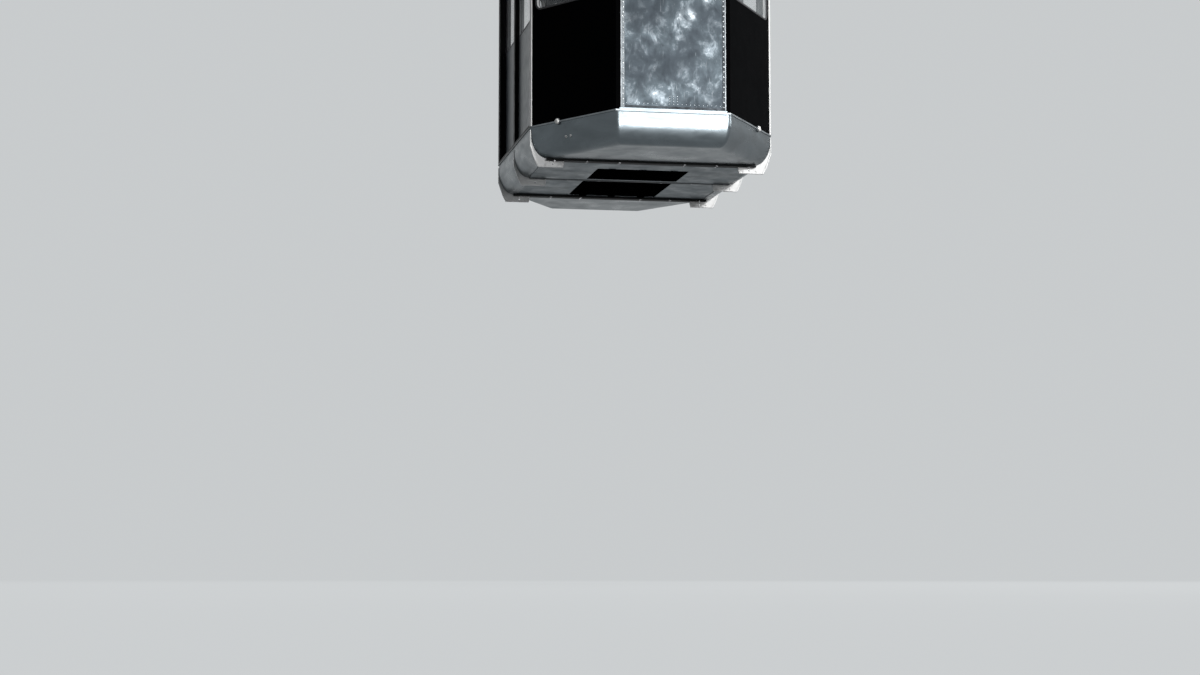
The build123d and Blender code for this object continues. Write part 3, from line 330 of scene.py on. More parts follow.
def rail_with_side_shade(name):
    """Belt rail: bare metal round the ends, near black along the sides as painted shade."""
    shader = Shader(name, (0.16, 0.175, 0.185), 0.42, 1.0)
    half_share = 0.5 / (HALF_WIDTH + 0.01)
    side = half_share * HALF_WIDTH
    # Near black along the side walls: painted shade
    side_shade_mask = shader.ramp(shader.distance("X", half_share), (side, 0.0), (side + 0.001, 1.0))
    cloud = shader.noise(12, 6, 0.6)
    metal = shader.ramp(cloud, (0.3, (0.12, 0.13, 0.14)), (0.7, (0.21, 0.23, 0.24)))
    shader.set("Base Color", shader.mix(side_shade_mask, metal, (0.006, 0.0065, 0.007)))
    shader.set("Roughness", shader.ramp(cloud, (0.3, 0.36), (0.7, 0.52)))
    shader.bump(shader.noise(120, 3, 0.6, (1, 1, 8)), 0.0004, 0.25)
    return shader.material


BLACK_GLOSS = paint("black_gloss", (0.0014, 0.0015, 0.0018), 0.30, grime=0.05, specular=0.002)
BLACK_FRAME = paint("black_frame", (0.0032, 0.0034, 0.0039), 0.34, grime=0.08, specular=0.02)
SIDE_GREY = paint("side_grey", (0.095, 0.110, 0.120), 0.34, grime=0.10, streaks=0.18)
PLATE_ALU = mottled_plate("plate_aluminium")
STRIP_ALU = bare_metal("strip_aluminium", (0.075, 0.083, 0.088), 0.42, 9.0, 0.30)
EDGE_ALU = bare_metal("edge_aluminium", (0.11, 0.118, 0.125), 0.40, 9.0, 0.25, dents=0.1)
RIVET_ALU = bare_metal("rivet_aluminium", (0.42, 0.44, 0.45), 0.30, 9.0, 0.15, dents=0.0)
DARK_STRIP = bare_metal("dark_strip", (0.022, 0.025, 0.028), 0.46, 12.0, 0.40, dents=0.2)
SKIRT_ALU = bare_metal("skirt_aluminium", (0.116, 0.134, 0.145), 0.31, 2.4, 0.16, (1, 1, 2.5), 0.06)
PAN_GREY = bare_metal("pan_grey", (0.118, 0.135, 0.145), 0.48, 3.2, 0.24, grain=(1, 10, 1))
WHITE_PAINT = paint("white_paint", (0.82, 0.82, 0.81), 0.34, grime=0.04, streaks=0.08)
BEAM_SHADE_AND_GLINT = beam_shade_and_glint("beam_painted_shade_and_glint")
BAY_BLACK = paint("bay_black", (0.0016, 0.0017, 0.0019), 0.60, grime=0.10, specular=0.0)
ROOF_LIGHT = paint("roof_light", (0.42, 0.44, 0.45), 0.42, grime=0.09, streaks=0.12)
HANGER_GREY = paint("hanger_grey", (0.34, 0.36, 0.37), 0.40, grime=0.10, streaks=0.16)
CARRIAGE_GREY = paint("carriage_grey", (0.16, 0.175, 0.185), 0.42, grime=0.15, streaks=0.18)
CEILING_WHITE = paint("ceiling_white", (0.66, 0.66, 0.64), 0.5, grime=0.04)
RUBBER = rubber("rubber", (0.022, 0.022, 0.024))
BELT_RAIL = rail_with_side_shade("belt_rail")
GLAZING = glazing("glazing")
LAMP = lamp_glass("lamp")
STEEL = turned_steel("steel")
SHAFT_STEEL = turned_steel("shaft_steel", (0.36, 0.36, 0.37), 0.26)
POLE_STEEL = bare_metal("pole_steel", (0.66, 0.66, 0.67), 0.26, 12, 0.06, dents=0.0)
FLOOR_COVER = floor_rubber("floor_covering")

FINISHES = {
    "end_": BLACK_GLOSS, "side_frame": BLACK_FRAME, "bay_panel": SIDE_GREY, "door_": SIDE_GREY,
    "skirt_": SKIRT_ALU, "centre_panels": PLATE_ALU,
    "guide_brackets": WHITE_PAINT, "corner_mouldings": WHITE_PAINT, "belt_rail": BELT_RAIL,
    "marker_lamps": LAMP, "cross_beams": BEAM_SHADE_AND_GLINT, "floor_pans": PAN_GREY, "ceiling": CEILING_WHITE,
    "door_tracks": STEEL, "bay_door": BAY_BLACK, "floor_deck": FLOOR_COVER, "roof_": ROOF_LIGHT,
    "panes_": GLAZING, "bay_panes": GLAZING, "door_pane": GLAZING, "grab_poles": POLE_STEEL,
    "hanger_": HANGER_GREY, "ladder_": HANGER_GREY, "hanger_shaft": SHAFT_STEEL,
    "main_beam": CARRIAGE_GREY, "haul_bracket": CARRIAGE_GREY, "rocker_": CARRIAGE_GREY,
    "cradle_": CARRIAGE_GREY, "roller_axle": STEEL, "rubber_mounts": RUBBER,
}
for node_name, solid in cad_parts.items():
    key = max((key for key in FINISHES if node_name.startswith(key)), key=len)
    solid.data.materials.clear()
    solid.data.materials.append(FINISHES[key])


# Mesh pieces


def turns(count, first=0.0):
    """Cosine and sine of equal turns, the first of them given in degrees."""
    angles = [math.radians(first + 360 * k / count) for k in range(count)]
    return [(math.cos(angle), math.sin(angle)) for angle in angles]


class Piece:
    """Collects vertices and faces, then becomes one mesh object on a body."""

    def __init__(self):
        self.verts = []
        self.faces = []

    def add(self, verts, faces, matrix=None):
        start = len(self.verts)
        self.verts.extend([matrix @ Vector(v) for v in verts] if matrix else [Vector(v) for v in verts])
        self.faces.extend(tuple(start + i for i in face) for face in faces)

    def box(self, centre, size, along=X_WAY, up=UP):
        """Block whose first size lies along one way and its third along up."""
        x, y, z = (value / 2 for value in size)
        centre, side = Vector(centre), up.cross(along)
        corners = [centre + along * (a * x) + side * (b * y) + up * (c * z)
                   for a in (-1, 1) for b in (-1, 1) for c in (-1, 1)]
        self.add(corners, [(0, 1, 3, 2), (4, 6, 7, 5), (0, 4, 5, 1),
                           (2, 3, 7, 6), (0, 2, 6, 4), (1, 5, 7, 3)])

    def lathe(self, profile, matrix, segments=12):
        """Closed body turned about local Z from (radius, height) pairs; the ends lie on the axis."""
        rings = [[(r * c, r * s, h) for c, s in turns(segments)] for r, h in profile[1:-1]]
        verts = [(0, 0, profile[0][1])] + [v for ring in rings for v in ring] + [(0, 0, profile[-1][1])]
        faces = [(0, 1 + (k + 1) % segments, 1 + k) for k in range(segments)]
        for row in range(len(rings) - 1):
            first, second = 1 + row * segments, 1 + (row + 1) * segments
            faces += [(first + k, first + (k + 1) % segments, second + (k + 1) % segments, second + k)
                      for k in range(segments)]
        last, top = 1 + (len(rings) - 1) * segments, len(verts) - 1
        faces += [(last + k, last + (k + 1) % segments, top) for k in range(segments)]
        self.add(verts, faces, matrix)

    def ring(self, centre, way, profile, segments=48):
        """Ring turned about a way through a centre, from (radius, height) pairs."""
        matrix = pointing(centre, way)
        count = len(profile)
        verts = [(r * c, r * s, h) for c, s in turns(segments) for r, h in profile]
        faces = []
        for k in range(segments):
            here, there = k * count, (k + 1) % segments * count
            faces += [(here + j, there + j, there + (j + 1) % count, here + (j + 1) % count)
                      for j in range(count)]
        self.add(verts, faces, matrix)

    def tube(self, points, radius, segments=10, closed=False):
        self.sweep(points, [(radius * c, radius * s) for c, s in turns(segments)], closed)

    def sweep(self, points, profile, closed=False, normal=None):
        """Sweeps a profile of (side, up) pairs along points; up is the normal, or else near Z."""
        count, width = len(points), len(profile)
        rings = []
        for k, point in enumerate(points):
            before = points[k - 1] if k or closed else point - (points[1] - point)
            after = points[(k + 1) % count] if k < count - 1 or closed else point + (point - points[k - 1])
            a, b = (point - before).normalized(), (after - point).normalized()
            way = (a + b).normalized()
            up = normal or (UP if abs(way.z) < 0.9 else Y_WAY)
            side = way.cross(up).normalized()
            up = side.cross(way).normalized()
            stretch = 1 / max(0.3, a.dot(way))
            rings.append([point + side * (x * stretch) + up * y for x, y in profile])
        faces = []
        for k in range(count if closed else count - 1):
            here, there = k * width, (k + 1) % count * width
            faces += [(here + j, here + (j + 1) % width, there + (j + 1) % width, there + j)
                      for j in range(width)]
        if not closed:
            faces += [tuple(reversed(range(width))), tuple(range((count - 1) * width, count * width))]
        self.add([v for ring in rings for v in ring], faces)

    def make(self, name, material, slot, body="cabin", bevel=0.0):
        mesh = bpy.data.meshes.new(name)
        mesh.from_pydata([tuple(v) for v in self.verts], [], self.faces)
        mesh.materials.append(material)
        piece = placed(name, mesh)
        for polygon in mesh.polygons:
            polygon.use_smooth = True
        mesh.set_sharp_from_angle(angle=math.radians(38))
        if bevel:
            modifier = piece.modifiers.new("bevel", "BEVEL")
            modifier.width = bevel
            modifier.segments = 2
            modifier.limit_method = "ANGLE"
        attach(piece, body)


def pointing(at, way):
    """Matrix that puts local Z along a way at a point."""
    return Matrix.Translation(Vector(at)) @ way.to_track_quat("Z", "Y").to_matrix().to_4x4()


RIVET = [(0, -0.002), (0.0045, -0.001), (0.0042, 0.0012), (0.0024, 0.0026), (0, 0.0030)]
TINY, SMALL, MEDIUM, LARGE = 0.7, 0.8, 0.9, 1.7     # sizes of rivets as shares of that profile


def rivet(piece, at, way, size=1.0):
    piece.lathe([(r * size, h * size) for r, h in RIVET], pointing(at, way), 8)


def rivet_row(piece, start, end, way, pitch, size=1.0):
    """Rivets from start to end, spaced as near to a pitch as fits."""
    start, span = Vector(start), Vector(end) - Vector(start)
    count = max(1, round(span.length / pitch))
    for k in range(count + 1):
        rivet(piece, start + span * (k / count), way, size)


def facet_row(piece, index, start, end, pitch, size, out=0.0):
    """Rivet row on a facet between two (x, z) spots, measured as in facet_point."""
    start, end = facet_point(index, *start, out), facet_point(index, *end, out)
    rivet_row(piece, start, end, facet(index)[2], pitch, size)


def bolt(piece, at, way, radius, height):
    """Hexagon head on a washer."""
    matrix = pointing(at, way)
    piece.lathe([(0, -0.001), (radius * 1.5, -0.001), (radius * 1.5, 0.0025), (0, 0.0025)], matrix, 16)
    piece.lathe([(0, 0.0025), (radius, 0.0025), (radius, height * 0.85), (radius * 0.86, height),
                 (0, height)], matrix, 6)


def disc(piece, at, way, rim, top, segments):
    """Disc on a face; the upper edges of its rim and of its top are (radius, height) pairs."""
    piece.lathe([(0, -0.001), (rim[0], -0.001), rim, top, (0, top[1])], pointing(at, way), segments)


def rounded_loop(centre, along, width, height, radius, steps=6):
    """Points round an upright rounded rectangle."""
    points = []
    for k, (sx, sy) in enumerate(((1, 1), (-1, 1), (-1, -1), (1, -1))):
        middle = Vector(centre) + along * (sx * (width / 2 - radius)) + UP * (sy * (height / 2 - radius))
        for j in range(steps + 1):
            turn = math.radians(90 * k + 90 * j / steps)
            points.append(middle + along * (radius * math.cos(turn)) + UP * (radius * math.sin(turn)))
    return points


def bent(points, radius, steps=5):
    """Open line with its corners rounded off."""
    line = [points[0]]
    for before, corner, after in zip(points, points[1:], points[2:]):
        start, end = (corner + (other - corner).normalized() * radius for other in (before, after))
        for k in range(steps + 1):
            t = k / steps
            line.append(start * (1 - t) ** 2 + corner * (2 * t * (1 - t)) + end * t ** 2)
    return line + [points[-1]]


def handle(piece, start, end, out, bend, radius, segments=12, sunk=0.001):
    """Bar on two legs that stands out from a face, with its feet sunk a little into it."""
    start, end, foot = Vector(start), Vector(end), out.normalized() * sunk
    piece.tube(bent([start - foot, start + out, end + out, end - foot], bend), radius, segments)


def around(count, radius, first=0.0, across=Y_WAY, up=UP):
    """Offsets round an axis by equal turns, the first of them given in degrees."""
    return [(across * c + up * s) * radius for c, s in turns(count, first)]


def curled(index, x, angle, radius, level, out, way):
    """Point and normal on the arc of the skirt (way -1) or of the roof (way 1)."""
    turn = math.radians(angle)
    normal = facet(index)[2] * math.cos(turn) + UP * (way * math.sin(turn))
    return facet_point(index, x, level, out - radius) + normal * radius, normal


def inner_corner(index, inset, z):
    """Corner of the plan moved inward from both its facets."""
    before, after = facet(index - 1)[2], facet(index)[2]
    return CORNERS[index % 8] - (before + after) * (inset / (1 + before.dot(after))) + UP * z


# Centre plates: edge strips, rivet rows, a dark band at the foot, a small cluster of rivets
# and the folded strip that closes the joint with the skirt
PLATE_HALF = high("centre_panels").x
PLATE_LOW, PLATE_HIGH = (corner("centre_panels").z - BELT for corner in (low, high))
PLATE_OUT = high("centre_panels").y - HALF_LENGTH
PLATE_MIDDLE, PLATE_HEIGHT = (PLATE_LOW + PLATE_HIGH) / 2, PLATE_HIGH - PLATE_LOW
STRIP_WIDTH, STRIP_THICK, STRIP_MARGIN, STRIP_PITCH = 0.034, 0.0016, 0.03, 0.046
STRIP_X, STRIP_INNER = PLATE_HALF - STRIP_WIDTH / 2, PLATE_HALF - STRIP_WIDTH
EDGE_WIDTH, EDGE_THICK, EDGE_OUT = 0.009, STRIP_THICK * 1.4, PLATE_OUT + STRIP_THICK * 1.2
SEAM_HEIGHT = 0.022
ROW_FOOT, ROW_HEAD, ROW_MARGIN, ROW_PITCH = 0.042, 0.018, 0.02, 0.040
CLUSTER_LOW, CLUSTER_COLUMN, CLUSTER_ROW = 0.095, 0.035, 0.022
FOLD = [(-0.0225, 0.0), (-0.0215, 0.0092), (0.0100, 0.0092), (0.0140, 0.0050), (0.0140, 0.0)]
FOLD_HALF = PLATE_HALF + 0.010

for name, index in (("front", 6), ("rear", 2)):
    strips, edges, dark, rivets, fold = (Piece() for _ in range(5))
    _, along, normal, _ = facet(index)
    for side, strip in ((-1, strips), (1, dark)):
        strip.box(facet_point(index, side * STRIP_X, PLATE_MIDDLE, PLATE_OUT + STRIP_THICK / 2),
                  (STRIP_WIDTH, STRIP_THICK, PLATE_HEIGHT), along)
        edges.box(facet_point(index, side * (PLATE_HALF - EDGE_WIDTH / 2), PLATE_MIDDLE, EDGE_OUT),
                  (EDGE_WIDTH, EDGE_THICK, PLATE_HEIGHT), along)
        x = side * (STRIP_X - EDGE_WIDTH / 2)
        facet_row(rivets, index, (x, PLATE_LOW + STRIP_MARGIN), (x, PLATE_HIGH - STRIP_MARGIN),
                  STRIP_PITCH, LARGE, PLATE_OUT + STRIP_THICK)
    dark.box(facet_point(index, 0, PLATE_LOW + SEAM_HEIGHT / 2, PLATE_OUT + STRIP_THICK / 2),
             (2 * STRIP_INNER, STRIP_THICK, SEAM_HEIGHT), along)
    for z in (PLATE_LOW + ROW_FOOT, PLATE_HIGH - ROW_HEAD):
        reach = STRIP_INNER - ROW_MARGIN
        facet_row(rivets, index, (-reach, z), (reach, z), ROW_PITCH, SMALL, PLATE_OUT)
    for column in (-1, 0, 1):
        for row in (0, 1, 2):
            at = facet_point(index, column * CLUSTER_COLUMN, CLUSTER_LOW + row * CLUSTER_ROW, PLATE_OUT)
            rivet(rivets, at, normal, MEDIUM)
    fold.sweep([facet_point(index, x, 0) for x in (-FOLD_HALF, FOLD_HALF)], FOLD, False, normal)
    for piece, kind, material in ((strips, "strips", STRIP_ALU), (edges, "edges", EDGE_ALU),
                                  (dark, "dark_strip", DARK_STRIP), (rivets, "rivets", RIVET_ALU),
                                  (fold, "fold", SKIRT_ALU)):
        piece.make(f"plate_{kind}_{name}", material, "bare_aluminium")

# Windows: rubber seals on both faces and a bright liner round each opening of the ends
SEAL = [(-0.009, -0.002), (0.009, -0.002), (0.009, 0.001), (0.004, 0.004), (-0.004, 0.004), (-0.009, 0.001)]
FLUSH_SEAL = [(-0.009, -0.002), (0.009, -0.002), (0.009, 0.0002), (0.007, 0.0004), (-0.007, 0.0004),
              (-0.009, 0.0002)]
LINER_THICK = 0.002
LINER = [(-LINER_THICK, -PANEL_THICK), (0, -PANEL_THICK), (0, -GLASS_BACK), (-LINER_THICK, -GLASS_BACK)]
END_MIDDLE, END_HEIGHT = (END_SILL + WINDOW_TOP) / 2 - BELT, WINDOW_TOP - END_SILL
SIDE_WINDOW = 2 * (BAY_HALF - BAY_MARGIN)


def seal_window(piece, centre, along, normal, width, height, corner=WINDOW_CORNER, profile=SEAL):
    piece.sweep(rounded_loop(centre, along, width, height, corner), profile, True, normal)


def seal_side(piece, turn, y, sill, outer, inner):
    """Seals of a side window, from its outer and its inner (x, profile)."""
    for (x, profile), way in ((outer, turn), (inner, -turn)):
        seal_window(piece, (turn * x, y, (sill + WINDOW_TOP) / 2), Y_WAY * turn, X_WAY * way,
                    SIDE_WINDOW, WINDOW_TOP - sill, SIDE_CORNER, profile)


seals, liners = Piece(), Piece()
for index in END_FACETS:
    _, along, normal, length = facet(index)
    width = length - 2 * WINDOW_MARGIN
    for out, way in ((0.0, 1), (-PANEL_THICK, -1)):
        seal_window(seals, facet_point(index, 0, END_MIDDLE, out), along, normal * way, width, END_HEIGHT)
    seal_window(liners, facet_point(index, 0, END_MIDDLE), along, normal, width, END_HEIGHT, profile=LINER)
for turn in (1, -1):
    seal_side(seals, turn, turn * BAY_MIDDLE, SIDE_SILL, (BAY_FACE, SEAL), (BAY_INNER, FLUSH_SEAL))
seals.make("window_seals", RUBBER, "black_rubber")
liners.make("window_liners", WHITE_PAINT, "white_paint")

# Sliding doors: seals, a kick plate and a grip inside, and a thin lock plate outside
KICK_Z, KICK_HEIGHT, KICK_THICK, KICK_MARGIN = BELT + 0.15, 0.20, 0.0012, 0.03
KICK_FACE, KICK_ROW, KICK_ROW_MARGIN, KICK_PITCH = DOOR_INNER - 0.001, 0.085, 0.045, 0.08
GRIP_INSET, GRIP_LOW, GRIP_HIGH, GRIP_OUT = 0.030, BELT + 0.90, BELT + 1.10, 0.030
LOCK_INSET, LOCK_Z = 0.06, BELT + 1.02
for side, turn in (("right", 1), ("left", -1)):
    door = f"door_{side}"
    middle_y, half = centre_of(door).y, half_size(door).y
    rubbers, metal = Piece(), Piece()
    seal_side(rubbers, turn, middle_y, DOOR_SILL, (DOOR_FACE, FLUSH_SEAL), (DOOR_INNER, SEAL))
    metal.box((turn * (KICK_FACE + KICK_THICK / 2), middle_y, KICK_Z),
              (2 * (half - KICK_MARGIN), KICK_THICK, KICK_HEIGHT), Y_WAY)
    inward, reach = X_WAY * -turn, half - KICK_ROW_MARGIN
    for z in (KICK_Z - KICK_ROW, KICK_Z + KICK_ROW):
        rivet_row(metal, (turn * KICK_FACE, middle_y - reach, z), (turn * KICK_FACE, middle_y + reach, z),
                  inward, KICK_PITCH)
    grip_y = middle_y + turn * (half - GRIP_INSET)
    feet = [(turn * DOOR_INNER, grip_y, z) for z in (GRIP_LOW, GRIP_HIGH)]
    handle(metal, *feet, inward * GRIP_OUT, 0.018, 0.008)
    disc(metal, (turn * DOOR_FACE, middle_y + turn * (half - LOCK_INSET), LOCK_Z), X_WAY * turn,
         (0.024, 0.0003), (0.022, 0.0004), 24)
    rubbers.make(f"door_seals_{side}", RUBBER, "black_rubber", door)
    metal.make(f"door_metal_{side}", POLE_STEEL, "interior_steel", door)

# Black facets and side frames: rivet rows along their edges, under the same paint
FACET_INSET, FACET_PITCH = 0.024, 0.060
FACET_FOOT, FACET_LOW, FACET_HIGH, FACET_HEAD = 0.03, 0.04, WALL_HEIGHT - 0.04, WALL_HEIGHT - 0.05
FRAME_INSET, FRAME_PITCH, FRAME_MARGIN, FRAME_HEAD = 0.042, 0.070, 0.05, WALL_TOP - 0.045
wall_rivets = Piece()
for index in SLANTED_FACETS + (2, 6):
    side = facet(index)[3] / 2 - FACET_INSET
    rows = [((-side, FACET_HEAD), (side, FACET_HEAD))]
    if index in SLANTED_FACETS:
        rows += [((x, FACET_LOW), (x, FACET_HIGH)) for x in (-side, side)]
        rows += [((-side, FACET_FOOT), (side, FACET_FOOT))]
    for start, end in rows:
        facet_row(wall_rivets, index, start, end, FACET_PITCH, SMALL)
for turn in (1, -1):
    x = turn * HALF_WIDTH
    reach = HALF_STRAIGHT - FRAME_MARGIN
    for y in (FRAME_INSET - HALF_STRAIGHT, 0.0, HALF_STRAIGHT - FRAME_INSET):
        rivet_row(wall_rivets, (x, y, BELT + FRAME_MARGIN), (x, y, WALL_TOP - 0.12), X_WAY * turn,
                  FRAME_PITCH, SMALL)
    rivet_row(wall_rivets, (x, -reach, FRAME_HEAD), (x, reach, FRAME_HEAD), X_WAY * turn, FRAME_PITCH, SMALL)
wall_rivets.make("wall_rivets", BLACK_FRAME, "frame_black")

# Grey bay panels: three rivet rows across each, at its foot and under and over its window
BAY_REACH, BAY_PITCH = BAY_HALF - 0.03, 0.060
bay_rivets = Piece()
for turn in (1, -1):
    for z in (BELT + 0.055, SIDE_SILL - 0.03, WINDOW_TOP + 0.03):
        rivet_row(bay_rivets, (turn * BAY_FACE, turn * (BAY_MIDDLE - BAY_REACH), z),
                  (turn * BAY_FACE, turn * (BAY_MIDDLE + BAY_REACH), z), X_WAY * turn, BAY_PITCH, SMALL)
bay_rivets.make("bay_rivets", SIDE_GREY, "side_grey")

# Marker lamps: a metal bezel round each
BEZEL = [(0.0262, 0.0005), (0.031, 0.0005), (0.031, 0.012), (0.0285, 0.0145), (0.0262, 0.0145)]
bezels = Piece()
for index, way in ((7, 1), (5, -1), (1, -1), (3, 1)):
    bezels.ring(facet_point(index, way * MARKER_REACH, 0), facet(index)[2], BEZEL, 32)
bezels.make("lamp_bezels", EDGE_ALU, "bare_aluminium")

# Skirt: two screws on two of the slanted facets, white as a painted glint, and a rivet row under the belt
SKIRT_ARC, SKIRT_UPRIGHT = 0.300, 0.075
SCREW = [(0, -0.002), (0.013, -0.001), (0.013, 0.002), (0.009, 0.006), (0, 0.007)]
SCREW_SPOTS, SCREW_TURN = (-0.098, -0.036), 15
BELT_ROW, BELT_MARGIN, BELT_PITCH = -0.028, 0.06, 0.080
screws, belt_rivets = Piece(), Piece()
for index in (5, 1):
    for x in SCREW_SPOTS:
        at, normal = curled(index, x, SCREW_TURN, SKIRT_ARC, -SKIRT_UPRIGHT, 0.0, -1)
        screws.lathe(SCREW, pointing(at, normal), 20)
# The screws' white is a painted glint
screws.make("skirt_screws", WHITE_PAINT, "white_paint")
for index in range(8):
    reach = facet(index)[3] / 2 - BELT_MARGIN
    facet_row(belt_rivets, index, (-reach, BELT_ROW), (reach, BELT_ROW), BELT_PITCH, TINY)
belt_rivets.make("skirt_rivets", SKIRT_ALU, "bare_aluminium")

# Underframe: bolts under the beams' flanges, of which the middle one is narrower
FLANGE_HALF, MIDDLE_FLANGE = 0.032, 0.012
beam_bolts = Piece()
for x in (-0.93, -0.62, -0.31, 0.31, 0.62, 0.93):
    for beam_y in (-HALF_STRAIGHT, HALF_STRAIGHT):
        for y in (-FLANGE_HALF, FLANGE_HALF):
            bolt(beam_bolts, (x, beam_y + y, BEAM_LOW), DOWN, 0.009, 0.006)
    bolt(beam_bolts, (x, 0, SKIRT_LOW - MIDDLE_FLANGE), DOWN, 0.006, 0.004)
beam_bolts.make("beam_bolts", STEEL, "roller_steel")

# Roof: rivet row over the fascia, walkway ribs, grab rails and drip rails over the doors
ROOF_EAVE = high("roof_shell").x - HALF_WIDTH
ROOF_ARC, ROOF_FASCIA = 0.114, 0.030
ROOF_GAPS, ROOF_MARGIN, ROOF_TURN = 32, 0.05, 18
RIB_PITCH, RIB_Z = 0.045, ROOF_TOP + 0.002
RIB_SPANS = ((-1.35, -0.72), (-0.46, -0.10), (0.10, 0.46))
RAIL_X, RAIL_RISE, RAIL_BEND, RAIL_RADIUS = 0.47, 0.11, 0.05, 0.012
RAIL_SPANS = ((-1.36, -0.76), (0.76, 1.36))
RAIL_FLANGE, RAIL_BOLT = [(0.0118, 0.0), (0.032, 0.0), (0.032, 0.004), (0.0118, 0.006)], 0.023
DRIP = [(0.0, -0.001), (0.018, -0.001), (0.018, 0.004), (0.006, 0.009), (0.0, 0.009)]
DRIP_HALF, DRIP_Z = 0.98, WALL_TOP - 0.068
roof_rivets, ribs, rails, drips = (Piece() for _ in range(4))
for index in range(8):
    for k in range(ROOF_GAPS + 1):
        x = (facet(index)[3] - 2 * ROOF_MARGIN) * (k / ROOF_GAPS - 0.5)
        at, normal = curled(index, x, ROOF_TURN, ROOF_ARC, WALL_HEIGHT + ROOF_FASCIA, ROOF_EAVE, 1)
        rivet(roof_rivets, at, normal, SMALL)
for k in range(-2, 3):
    for start, end in RIB_SPANS:
        ribs.box((RIB_PITCH * k, (start + end) / 2, RIB_Z), (end - start, 0.020, 0.005), Y_WAY)
for x in (-RAIL_X, RAIL_X):
    for span in RAIL_SPANS:
        handle(rails, *((x, y, ROOF_TOP) for y in span), UP * RAIL_RISE, RAIL_BEND, RAIL_RADIUS, 14, 0.002)
        for y in span:
            rails.ring((x, y, ROOF_TOP), UP, RAIL_FLANGE, 24)
            for spot in (-RAIL_BOLT, RAIL_BOLT):
                bolt(rails, (x + spot, y, ROOF_TOP + 0.004), UP, 0.004, 0.004)
for turn in (1, -1):
    ends = [Vector((turn * HALF_WIDTH, turn * y, DRIP_Z)) for y in (-DRIP_HALF, DRIP_HALF)]
    drips.sweep(ends, DRIP, False, X_WAY * turn)
roof_rivets.make("roof_rivets", ROOF_LIGHT, "roof_light")
ribs.make("roof_walkway", RUBBER, "black_rubber", bevel=0.001)
rails.make("roof_rails", HANGER_GREY, "hanger_paint")
drips.make("drip_rails", BLACK_FRAME, "frame_black")

# Roof lid: a rivet row down each side, a handle and two toggle latches at its free edge
LID_HALF = half_size("roof_lid").x
LID_NEAR, LID_TOP = low("roof_lid").y, high("roof_lid").z
LID_ROW_X, LID_MARGIN, LID_PITCH = LID_HALF - 0.03, 0.04, 0.07
TOGGLE_X = 0.20
lid_metal = Piece()
for sx in (-1, 1):
    rivet_row(lid_metal, (sx * LID_ROW_X, LID_NEAR + LID_MARGIN, LID_TOP),
              (sx * LID_ROW_X, LID_NEAR + 2 * LID_HALF - LID_MARGIN, LID_TOP), UP, LID_PITCH)
    bolt(lid_metal, (sx * TOGGLE_X, LID_NEAR + 0.045, LID_TOP), UP, 0.010, 0.010)
    lid_metal.box((sx * TOGGLE_X, LID_NEAR + 0.020, LID_TOP + 0.004), (0.026, 0.050, 0.006))
handle(lid_metal, *((x, LID_NEAR + 0.06, LID_TOP) for x in (-0.09, 0.09)), UP * 0.045, 0.022, 0.008)
lid_metal.make("lid_metal", STEEL, "roller_steel", "roof_lid")

# Bay doors: two paddle latches each, and a rivet row down each side
LATCH_X, LATCH_INSET, LATCH_RIVET = 0.26, 0.045, 0.038
for name, way in (("front", -1), ("rear", 1)):
    door_low, door_high = low(f"bay_door_{name}"), high(f"bay_door_{name}")
    face_z = door_high.z - BAY_DOOR_THICK
    free_y, hinge_y = (door_high.y, door_low.y) if way < 0 else (door_low.y, door_high.y)
    latches = Piece()
    for x in (-LATCH_X, LATCH_X):
        at = Vector((x, free_y + way * LATCH_INSET, face_z))
        latches.box(at + DOWN * 0.0005, (0.090, 0.050, 0.003))
        latches.box(at + DOWN * 0.003 + Y_WAY * (way * 0.004), (0.050, 0.026, 0.004))
        for spot in (-LATCH_RIVET, LATCH_RIVET):
            rivet(latches, at + X_WAY * spot + DOWN * 0.002, DOWN, MEDIUM)
    row_x, row_start, row_end = door_high.x - 0.018, free_y + way * 0.02, hinge_y - way * 0.05
    for x in (-row_x, row_x):
        rivet_row(latches, (x, row_start, face_z), (x, row_end, face_z), DOWN, 0.09)
    latches.make(f"bay_latches_{name}", BAY_BLACK, "bay_door_black", f"bay_door_{name}", bevel=0.0006)

# Inside: handrails under the end windows, flanges of the grab poles and two ceiling lamps
HAND_INSET, HAND_Z, HAND_END, HAND_POST = 0.105, 0.98, 0.10, 0.13
HAND_FOOT = [(0, 0), (0.022, 0), (0.022, 0.004), (0.012, 0.010), (0, 0.010)]
POLE_X, POLE_Y = high("grab_poles").x - POLE_RADIUS, high("grab_poles").y - POLE_RADIUS
COLLAR = [(POLE_RADIUS, 0.0), (0.038, 0.0), (0.038, 0.004), (0.024, 0.012), (POLE_RADIUS, 0.012)]
SHADE_TURNS = [math.radians(angle) for angle in range(180, -1, -15)]
LAMP_SHADE = [(0.055 * math.cos(turn), -0.030 * math.sin(turn)) for turn in SHADE_TURNS]
LAMP_FRAME = [(-0.066, 0.0), (-0.066, -0.010), (-0.058, -0.014), (0.058, -0.014), (0.066, -0.010),
              (0.066, 0.0)]
LAMP_X = 0.62
hand, flanges, shades, frames = (Piece() for _ in range(4))
for start in (5, 1):
    last = start + 2
    line = [facet_point(start, HAND_END - facet(start)[3] / 2, HAND_Z, -HAND_INSET)]
    line += [inner_corner(start + k, HAND_INSET, HAND_Z) for k in (1, 2)]
    line.append(facet_point(last, facet(last)[3] / 2 - HAND_END, HAND_Z, -HAND_INSET))
    hand.tube(bent(line, 0.06), 0.015, 14)
    for index in range(start, start + 3):
        reach = facet(index)[3] / 2 - HAND_POST
        for x in (-reach, reach):
            foot = facet_point(index, x, HAND_Z, -PANEL_THICK)
            hand.tube([foot, facet_point(index, x, HAND_Z, -HAND_INSET)], 0.008, 10)
            hand.lathe(HAND_FOOT, pointing(foot, facet(index)[2] * -1), 20)
